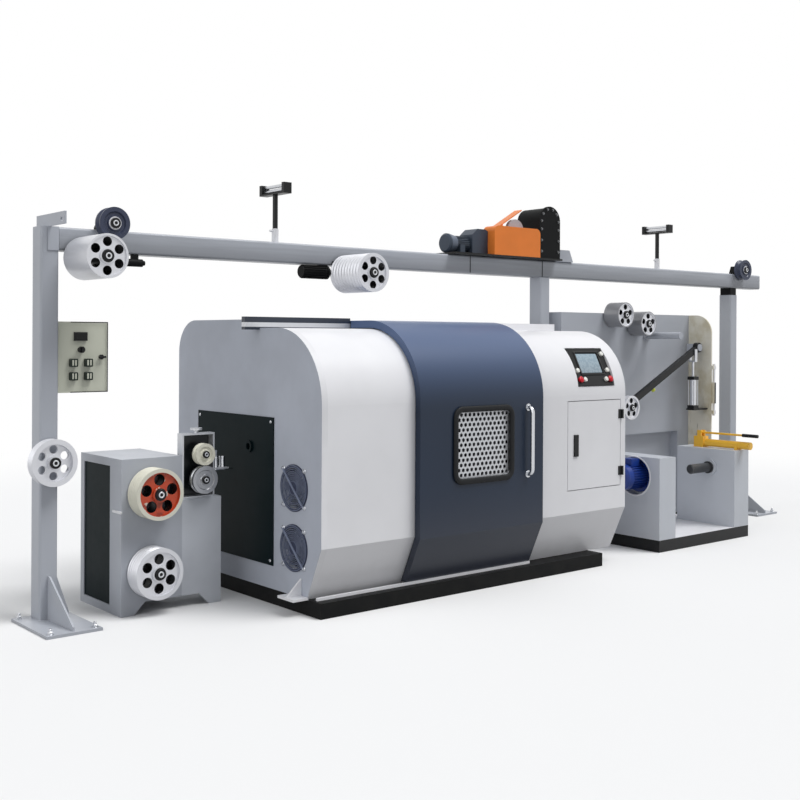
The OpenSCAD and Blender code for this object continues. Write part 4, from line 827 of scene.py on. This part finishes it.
NODE_FINISHES = {
    "beam_paint": ["overhead_beam"],
    "frame_paint": ["left_post", "middle_post", "right_post"],
    "housing_paint": ["left_spindle_housing", "right_spindle_housing"],
    "stand_paint": ["capstan_stand"],
    "shell_paint": ["left_shell", "rear_shell", "drive_housing", "electrical_door"],
    "wall_paint": ["left_end_wall"],
    "door_paint": ["sliding_door"],
    "cover_paint": ["capstan_side_panel", "end_cover_panel"],
    "black_paint": ["roller_brackets", "drum_brackets", "gear_housing", "cabinet_base"],
    "guide_paint": ["cable_guides"],
    "bed_paint": ["drive_bed"],
    "motor_paint": ["drive_motor"],
    "arm_paint": ["dancer_arm"],
    "guard_paint": ["belt_guard"],
    "blue_paint": ["spindle_motor"],
    "beige_paint": ["control_box", "control_box_door"],
    "cream_paint": ["upper_tension_wheel"],
    "ground_steel": ["cable_guide_rollers", "dancer_rod"],
    "tension_metal": ["tension_frame"],
    "plated_steel": ["door_handle"],
    "black_plastic": ["control_instruments", "operator_panel", "electrical_door_fittings"],
    "fan_plastic": ["cooling_fans"],
    "window_plate": ["door_window"],
    "rail_paint": ["door_rails"],
    "payoff_wall_paint": ["payoff_wall"],
    "payoff_base_paint": ["payoff_base"],
    "pump_paint": ["hand_pump"],
    "lever_paint": ["pump_lever"],
    "cylinder_paint": ["dancer_cylinder"],
    "capstan_paint": ["capstan_wheel"],
    "nip_metal": ["lower_tension_wheel"],
    "spindle_metal": ["tail_spindle"],
    **{node + "_paint": [node] for node in ROLLERS},
    **{node + "_metal": [node] for node in PLAIN_DRUMS + PAYOFF_WHEELS},
}


# Fittings

class MACHINE_OT_fasteners(bpy.types.Operator):
    """Adds anchor bolts, cover screws and flange bolts"""

    bl_idname = "machine.fasteners"
    bl_label = "Fasteners"

    def execute(self, context):
        s = sizes()
        self.anchors(s)
        self.covers(s)
        self.flanges(s)
        return {"FINISHED"}

    def anchors(self, s):
        """Stud, washer and nut at each corner of the base plates' bolt patterns."""
        washer = 0.003
        nut = 0.013
        stud = 0.03
        shape = Shape()
        for mount in RECORD["mounts"]:
            if mount["kind"] != "bolt_pattern":
                continue
            spacing = np.array([mount["dims"]["spacing_x_mm"], mount["dims"]["spacing_y_mm"]]) * MM
            for corner in [(-1, -1), (1, -1), (1, 1), (-1, 1)]:
                spot = np.array([*(np.array(mount["pos_m"][:2]) + spacing / 2 * corner), s.plate_top])
                shape.loft(disc(s.anchor * 2.1, washer, spot, TOP, edge=0.0006))
                shape.loft(hexagon(s.anchor * 1.7, nut, spot + [0, 0, washer], TOP))
                shape.loft(disc(s.anchor, stud, spot, TOP, edge=0.001, count=16))
        shape.piece("anchor_bolts", "ground_steel", "machine")

    def covers(self, s):
        """Domed screws at the corners of the end cover, on its face in front of the inlet's tube."""
        inset = 0.026
        tube_depth = 0.046
        low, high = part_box("end_cover_panel")
        shape = Shape()
        for y in (low.y + inset, high.y - inset):
            for z in (low.z + inset, high.z - inset):
                screw_head(shape, (high.x - tube_depth, y, z), LEFT, s.screw)
        shape.piece("cover_screws", "plated_steel", "machine")

    def flanges(self, s):
        """Bolt heads on the gear housing's flange: round its arch, and down both sides."""
        inset = 0.02
        foot_gap = 0.05
        arch_gap = 0.06
        low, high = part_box("gear_housing")
        half = (high.x - low.x) / 2
        arch = np.array([(low.x + high.x) / 2, low.y, high.z - half])
        spots = [arch + (half - inset) * np.array([np.cos(angle), 0, np.sin(angle)])
                 for angle in np.linspace(0, np.pi, 6)]
        for z in np.linspace(low.z + foot_gap, arch[2] - arch_gap, 3):
            spots += [(x, low.y, z) for x in (low.x + inset, high.x - inset)]
        shape = Shape()
        for spot in spots:
            bolt_head(shape, spot, FRONT, s.bolt * 0.65)
        shape.piece("flange_bolts", "dark_steel", "machine")


# Wheels with the radius of their shaft's end cap and the body that carries the shaft
HUBS = [
    ("guide_drum", 0.029, "machine"),
    ("grooved_drum", 0.029, "machine"),
    ("left_roller", 0.027, "machine"),
    ("right_roller", 0.027, "machine"),
    ("post_wheel", 0.028, "machine"),
    ("capstan_wheel", 0.029, "machine"),
    ("lower_capstan_wheel", 0.029, "machine"),
    ("upper_tension_wheel", 0.019, "machine"),
    ("lower_tension_wheel", 0.021, "machine"),
    ("left_payoff_wheel", 0.027, "machine"),
    ("right_payoff_wheel", 0.027, "machine"),
    ("dancer_wheel", 0.023, "dancer_arm"),
]


class MACHINE_OT_hubs(bpy.types.Operator):
    """Adds the black hub covers and their bright rings on the ends of the shafts"""

    bl_idname = "machine.hubs"
    bl_label = "Hub covers"

    def execute(self, context):
        cap_clearance = 0.0015
        for body, suffix in [("machine", ""), ("dancer_arm", "_dancer")]:
            covers = Shape()
            rings = Shape()
            for node, cap_radius, carrier in HUBS:
                if carrier != body:
                    continue
                spot = np.array(joint_place(node + "_spin"))
                spot[1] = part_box(node)[0].y
                self.cover(covers, rings, spot, cap_radius + cap_clearance)
            covers.piece("hub_covers" + suffix, "black_plastic", body, smooth=40)
            rings.piece("hub_rings" + suffix, "ground_steel", body, smooth=40)
        return {"FINISHED"}

    def cover(self, covers, rings, spot, radius):
        """Cup over the shaft's end cap, clear of the turning wheel, with a bright ring on its face."""
        back = 0.0022
        face = 0.0115
        chamfer = 0.002
        edge = 0.001
        hole = radius * 0.32
        rim = radius * 0.56
        cup = [(0, back), (radius, back), (radius, face - chamfer), (radius - chamfer, face), (0, face)]
        covers.loft(turned(cup, spot, FRONT, 32), caps=False)
        top = face + 2 * edge
        ring = [(hole, face - edge), (rim, face - edge), (rim, face + edge), (rim - edge, top),
                (hole + edge, top), (hole, face + edge)]
        rings.loft(turned(ring + ring[:1], spot, FRONT, 32), caps=False)


class MACHINE_OT_capstan(bpy.types.Operator):
    """Adds the wire guide's rollers, block and tray and the latch of the stand"""

    bl_idname = "machine.capstan"
    bl_label = "Capstan fittings"

    def execute(self, context):
        self.wire_guide()
        self.latch()
        return {"FINISHED"}

    def wire_guide(self):
        """Two spools on a tray and a block over them, on the right side of the tension frame."""
        tray = (0.126, 0.066, 0.006)
        block = (0.026, 0.05, 0.034)
        core = 0.0148
        flange = 0.0175
        below_wheel_top = 0.03
        block_along = 0.0128
        block_up = 0.074
        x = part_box("tension_frame")[0].x + TENSION_WIDTH
        y = 0.024
        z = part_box("lower_tension_wheel")[1].z - below_wheel_top
        shape = Shape()
        shape.loft(slab(*tray, 0.01, (x + tray[0] / 2, y, z - tray[2]), TOP))
        spool = [(0, 0.008), (flange, 0.008), (flange, 0.014), (core, 0.019), (core, 0.059), (flange, 0.064),
                 (flange, 0.0705), (0, 0.0705)]
        for along in (0.026, 0.07):
            shape.loft(turned(spool, (x + along, y, z), TOP), caps=False)
        shape.loft(slab(*block, 0.003, (x + block_along, y, z + block_up), TOP))
        shape.piece("wire_guide_rollers", "plated_steel", "machine")

    def latch(self):
        """Pale bar on the left side of the stand."""
        bar = (0.1, 0.014, 0.012)
        y = 0.016
        z = 0.561
        shape = Shape()
        shape.loft(slab(*bar, 0.004, (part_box("capstan_stand")[0].x, y, z), LEFT))
        shape.piece("stand_latch", "shell_paint", "machine")


class MACHINE_OT_fans(bpy.types.Operator):
    """Adds the wire guards and corner lugs of the two cooling fans"""

    bl_idname = "machine.fans"
    bl_label = "Fan guards"

    def execute(self, context):
        s = sizes()
        bar_share = 1.08
        lug_share = 1.09
        lug_radius = 0.014
        lug_thickness = 0.006
        lug_bolt = 0.008
        low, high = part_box("cooling_fans")
        radius = (high.y - low.y) / 2
        diagonals = np.pi * np.array([0.25, 0.75, 1.25, 1.75])
        outward = np.column_stack([np.cos(diagonals), np.sin(diagonals), np.zeros(4)])
        wires = Shape()
        lugs = Shape()
        for z in (low.z + radius, high.z - radius):
            spot = np.array([low.x - s.wire, (low.y + high.y) / 2, z])
            for share in np.linspace(0.3, 0.95, 9):
                wires.loft(hoop(radius * share, s.wire, spot, LEFT), caps=False)
            reach = radius * bar_share * outward[1]
            bar = put(np.linspace(-reach, reach, 5), spot - [s.wire, 0, 0], LEFT)
            wires.loft(tube(bar, s.wire * 3))
            for corner in put(radius * lug_share * outward, spot, LEFT):
                corner[0] = end_wall_face()
                lugs.loft(disc(lug_radius, lug_thickness, corner, LEFT))
                bolt_head(lugs, corner - [lug_thickness, 0, 0], LEFT, lug_bolt)
        wires.piece("fan_guards", "wire_plastic", "machine")
        lugs.piece("fan_lugs", "plated_steel", "machine")
        return {"FINISHED"}


class MACHINE_OT_door(bpy.types.Operator):
    """Adds the rubber moulding of the window"""

    bl_idname = "machine.door"
    bl_label = "Door fittings"

    def execute(self, context):
        half = sizes().gasket / 2
        rise = 0.009
        corner = 0.05
        low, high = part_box("door_window")
        outline = rounded(high.x - low.x - half, high.z - low.z - half, corner, 8)
        profile = circle(1.0, 12) * [half, rise]
        centre = ((low.x + high.x) / 2, low.y, (low.z + high.z) / 2)
        shape = Shape()
        shape.loft(moulding(outline, profile, centre, FRONT), caps=False)
        shape.piece("window_gasket", "rubber", "sliding_door", smooth=60)
        return {"FINISHED"}


class MACHINE_OT_operator_panel(bpy.types.Operator):
    """Adds the screen, buttons and lamps of the operator panel"""

    bl_idname = "machine.operator_panel"
    bl_label = "Operator panel"

    def execute(self, context):
        low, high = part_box("operator_panel")
        rise = math.radians(26.9)
        arc_centre = np.array([(low.x + high.x) / 2, -0.305, 1.135])
        arc_radius = 0.404
        out = np.array([0, -math.cos(rise), math.sin(rise)])
        axes = np.array([[1, 0, 0], [0, math.sin(rise), math.cos(rise)], out])
        seat = arc_centre + out * arc_radius

        def at(x, y, z=0.0):
            """Place on the sloped panel, from its middle."""
            return put((x, y, z), seat, axes)

        self.screen(at, axes)
        self.buttons(at, axes)
        return {"FINISHED"}

    def screen(self, at, axes):
        """Glass in a raised bezel, and the panel's corner screws."""
        glass = (0.205, 0.14, 0.003)
        middle = 0.025
        screw_x = 0.158
        screw_y = 0.118
        screen = Shape()
        screen.loft(slab(*glass, 0.006, at(0, middle, -0.0035), axes))
        screen.piece("operator_screen", "screen_glass", "machine")
        bezel = Shape()
        profile = np.array([[0.0, 0.0], [0.0, 0.004], [-0.006, 0.006], [-0.012, 0.004], [-0.012, 0.0]])
        bezel.loft(moulding(rounded(0.24, 0.175, 0.01, 5), profile, at(0, middle), axes), caps=False)
        for y in (-screw_y, screw_y):
            for x in (-screw_x, screw_x):
                screw_head(bezel, at(x, y), axes, 0.006)
        bezel.piece("screen_bezel", "black_plastic", "machine")

    def buttons(self, at, axes):
        """Domed stop buttons in the lower corners, and the small lamps."""
        row = -0.095
        dome = [(0, 0), (0.019, 0), (0.019, 0.006), (0.021, 0.008), (0.021, 0.014), (0.016, 0.018),
                (0, 0.019)]
        small = [(0, 0), (0.0155, 0), (0.0155, 0.013), (0.011, 0.0155), (0, 0.016)]
        red = Shape()
        for x in (-0.147, 0.147):
            red.loft(turned(dome, at(x, row), axes), caps=False)
        red.piece("stop_buttons", "red_plastic", "machine", smooth=50)
        pale = Shape()
        for x, y in [(-0.105, row), (0.105, row), (0.148, -0.03), (-0.148, -0.03), (0.148, 0.09)]:
            pale.loft(turned(small, at(x, y), axes), caps=False)
        pale.piece("panel_lamps", "white_plastic", "machine", smooth=50)


class MACHINE_OT_control_box(bpy.types.Operator):
    """Adds the meter glass, switches, selector grip, lock and door seal of the control box"""

    bl_idname = "machine.control_box"
    bl_label = "Control box"

    def execute(self, context):
        glass = (0.06, 0.034, 0.002)
        block = (0.042, 0.044, 0.026)
        rocker = (0.009, 0.03, 0.004)
        grip = (0.01, 0.034, 0.012)
        lock = (0.04, 0.012, 0.012)
        body = "control_box_door"
        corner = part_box("control_box")[0]
        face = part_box("control_instruments")[1].y

        def at(across, up, out=0.0):
            """Place on the door's face, from the box's lower left corner."""
            return np.array([corner.x + across, face - out, corner.z + up])

        meter = Shape()
        meter.loft(slab(*glass, 0.003, at(0.128, 0.301, 0.014), FRONT, 0.0006))
        meter.piece("meter_glass", "dark_glass", body)
        blocks = Shape()
        faces = Shape()
        for across in (0.086, 0.17):
            for up in (0.088, 0.16):
                blocks.loft(slab(*block, 0.006, at(across, up), FRONT))
                for shift in (-0.008, 0.008):
                    faces.loft(slab(*rocker, 0.002, at(across + shift, up, 0.0235), FRONT))
        blocks.piece("switch_blocks", "switch_plastic", body)
        faces.piece("switch_faces", "beige_paint", body)
        bezels = Shape()
        bezels.loft(slab(*grip, 0.004, at(0.13, 0.23, 0.024), FRONT))
        bezels.loft(slab(*lock, 0.005, at(0.246, 0.19, 0.016), FRONT))
        bezels.piece("control_bezels", "black_plastic", body)
        self.seal(body)
        return {"FINISHED"}

    def seal(self, body):
        """Thin black strips along the door's free edges, clear of the post at the hinge."""
        width = 0.005
        thick = 0.0012
        hinge_gap = 0.07
        low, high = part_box("control_box_door")
        reach = high.x - low.x - hinge_gap
        rise = high.z - low.z - 2 * width
        strips = [(reach, width, high.x - reach / 2, low.z + width / 2),
                  (reach, width, high.x - reach / 2, high.z - width / 2),
                  (width, rise, high.x - width / 2, (low.z + high.z) / 2)]
        shape = Shape()
        for long, tall, x, z in strips:
            shape.loft(slab(long, tall, thick, 0.001, (x, low.y, z), FRONT, 0.0003))
        shape.piece("control_box_seal", "rubber", body)


class MACHINE_OT_beam(bpy.types.Operator):
    """Adds the dark joint strips on the beam beside the drive"""

    bl_idname = "machine.beam"
    bl_label = "Beam joints"

    def execute(self, context):
        left_joint = -0.203
        right_joint = 0.529
        width = 0.007
        thick = 0.0015
        edge_gap = 0.01
        low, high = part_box("overhead_beam")
        shape = Shape()
        for x in (left_joint, right_joint):
            middle = (x, low.y, (low.z + high.z) / 2)
            shape.loft(slab(width, high.z - low.z - edge_gap, thick, 0.001, middle, FRONT, 0.0004))
        shape.piece("beam_joints", "rubber", "machine")
        return {"FINISHED"}


class MACHINE_OT_payoff(bpy.types.Operator):
    """Adds the tie rods of the dancer arm's cylinder and the rim of the motor's recess"""

    bl_idname = "machine.payoff"
    bl_label = "Payoff fittings"

    def execute(self, context):
        self.tie_rods()
        self.recess_rim()
        return {"FINISHED"}

    def tie_rods(self):
        """Four thin rods round the barrel, from the lower end cap to just over the upper one."""
        from_left = 0.038
        spread = 0.026
        rod = 0.004
        foot_gap = 0.012
        nut = 0.004
        low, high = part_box("dancer_cylinder")
        middle = np.array([low.x + from_left, joint_place("dancer_swing")[1], 0])
        shape = Shape()
        for dx in (-spread, spread):
            for dy in (-spread, spread):
                foot = middle + [dx, dy, low.z + foot_gap]
                head = middle + [dx, dy, high.z + nut]
                shape.loft(tube(np.linspace(foot, head, 3), rod))
        shape.piece("cylinder_tie_rods", "ground_steel", "machine")

    def recess_rim(self):
        """Pale hoop on the left spindle housing, round the spindle's axis."""
        radius = 0.139
        bead = 0.006
        centre = np.array(joint_place("tail_spindle_spin"))
        centre[0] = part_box("left_spindle_housing")[0].x
        shape = Shape()
        shape.loft(hoop(radius, bead, centre, LEFT, 48), caps=False)
        shape.piece("motor_recess_rim", "shell_paint", "machine")


# Stage

# Rays that meet a plain white background
WHITE_RAYS = ("Is Camera Ray", "Is Glossy Ray", "Is Transmission Ray")

# Lamps: name, strength, width of the source in degrees and direction of the light
LAMPS = [
    ("key", 2.2, 32, (-0.34, 0.43, -1.0)),
    ("fill", 0.86, 60, (1.0, 0.1, -0.35)),
]


class MACHINE_OT_stage(bpy.types.Operator):
    """Makes the pale floor, the soft light and the camera"""

    bl_idname = "machine.stage"
    bl_label = "Stage"

    def execute(self, context):
        self.floor()
        self.world()
        self.lamps()
        self.camera()
        context.scene.view_settings.view_transform = "Standard"
        return {"FINISHED"}

    def floor(self):
        """Large disc under the machine: matt near it and plain white far away."""
        reach = 80.0
        level = -0.0005
        matt_end = 4.5
        white_start = 8.5
        base = colours().floor
        mesh = bpy.data.meshes.new("floor")
        ring = circle(reach, 64)
        points = np.column_stack([ring, np.full(len(ring), level)])
        mesh.from_pydata(points.tolist(), [], [list(range(len(points)))])
        f = Finish("floor_paint", shine=0.1, roughness=0.9)
        far = f.radius((0, 0, 0), (1, 1, 0)).ramp(matt_end, white_start)
        seen, mirrored, through = [f.node("LightPath", None, None, ray) for ray in WHITE_RAYS]
        path = (seen + mirrored + through).ramp(0.0, 1.0)
        f.feed("Base Color", f.mix(path, shade(base, 0.4), base))
        glow = f.node("Emission", None, {"Color": (1, 1, 1), "Strength": 1.0})
        surface = Value(f, f.shader.outputs[0])
        mixed = f.node("MixShader", None, {0: far * path, 1: surface, 2: glow})
        f.link(f.tree.nodes["Material Output"].inputs["Surface"], mixed)
        mesh.materials.append(f.material)
        made = bpy.data.objects.new("floor", mesh)
        bpy.context.scene.collection.objects.link(made)

    def world(self):
        """White world for the camera, mirrors and glass, and a softer one for the light."""
        world = bpy.data.worlds.new("studio")
        bpy.context.scene.world = world
        world.use_nodes = True
        nodes = world.node_tree.nodes
        links = world.node_tree.links
        soft = nodes["Background"]
        soft.inputs["Color"].default_value = (0.95, 0.97, 1.0, 1.0)
        soft.inputs["Strength"].default_value = 0.4
        white = nodes.new("ShaderNodeBackground")
        white.inputs["Color"].default_value = (1, 1, 1, 1)
        path = nodes.new("ShaderNodeLightPath")
        shown = path.outputs[WHITE_RAYS[0]]
        for ray in WHITE_RAYS[1:]:
            either = nodes.new("ShaderNodeMath")
            either.operation = "MAXIMUM"
            links.new(shown, either.inputs[0])
            links.new(path.outputs[ray], either.inputs[1])
            shown = either.outputs[0]
        blend = nodes.new("ShaderNodeMixShader")
        for socket, source in enumerate([shown, soft.outputs[0], white.outputs[0]]):
            links.new(source, blend.inputs[socket])
        links.new(blend.outputs[0], nodes["World Output"].inputs["Surface"])

    def lamps(self):
        """Two wide lamps, far away."""
        for name, strength, angle, aim in LAMPS:
            lamp = bpy.data.lights.new(name, "SUN")
            lamp.energy = strength
            lamp.angle = math.radians(angle)
            made = bpy.data.objects.new(name, lamp)
            made.rotation_mode = "QUATERNION"
            made.rotation_quaternion = Vector(aim).to_track_quat("-Z", "Y")
            bpy.context.scene.collection.objects.link(made)

    def camera(self):
        """Level camera at eye height, as the photograph's perspective gives it."""
        eye = (-5.607, -5.58, 1.5)
        heading = 50.18
        roll = -0.277
        lens = bpy.data.cameras.new("camera")
        lens.sensor_width = 36.0
        lens.lens = 50.62
        lens.shift_y = -0.0773
        made = bpy.data.objects.new("camera", lens)
        made.location = eye
        made.rotation_euler = (math.radians(90), math.radians(roll), math.radians(heading - 90))
        bpy.context.scene.collection.objects.link(made)
        bpy.context.scene.camera = made


class MACHINE_PT_panel(bpy.types.Panel):
    """Lists the machine's operators, colours and sizes"""

    bl_idname = "MACHINE_PT_panel"
    bl_label = "Cable twisting machine"
    bl_space_type = "VIEW_3D"
    bl_region_type = "UI"
    bl_category = "Machine"

    def draw(self, context):
        for operator in OPERATORS:
            self.layout.operator(operator.bl_idname)
        for group in (colours(), sizes()):
            for name in group.__annotations__:
                self.layout.prop(group, name)


OPERATORS = [
    MACHINE_OT_finishes,
    MACHINE_OT_fasteners,
    MACHINE_OT_hubs,
    MACHINE_OT_capstan,
    MACHINE_OT_fans,
    MACHINE_OT_door,
    MACHINE_OT_operator_panel,
    MACHINE_OT_control_box,
    MACHINE_OT_beam,
    MACHINE_OT_payoff,
    MACHINE_OT_stage,
]
CLASSES = [MachineColours, FittingSizes, *OPERATORS, MACHINE_PT_panel]


def register():
    """Registers the classes and puts the colours and sizes on the scene."""
    for item in CLASSES:
        bpy.utils.register_class(item)
    bpy.types.Scene.machine_colours = PointerProperty(type=MachineColours)
    bpy.types.Scene.machine_sizes = PointerProperty(type=FittingSizes)


def unregister():
    """Takes the colours, sizes and classes away again."""
    del bpy.types.Scene.machine_sizes
    del bpy.types.Scene.machine_colours
    for item in reversed(CLASSES):
        bpy.utils.unregister_class(item)


def main():
    """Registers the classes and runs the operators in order."""
    register()
    for operator in OPERATORS:
        group, name = operator.bl_idname.split(".")
        getattr(getattr(bpy.ops, group), name)()


if __name__ == "__main__":
    main()
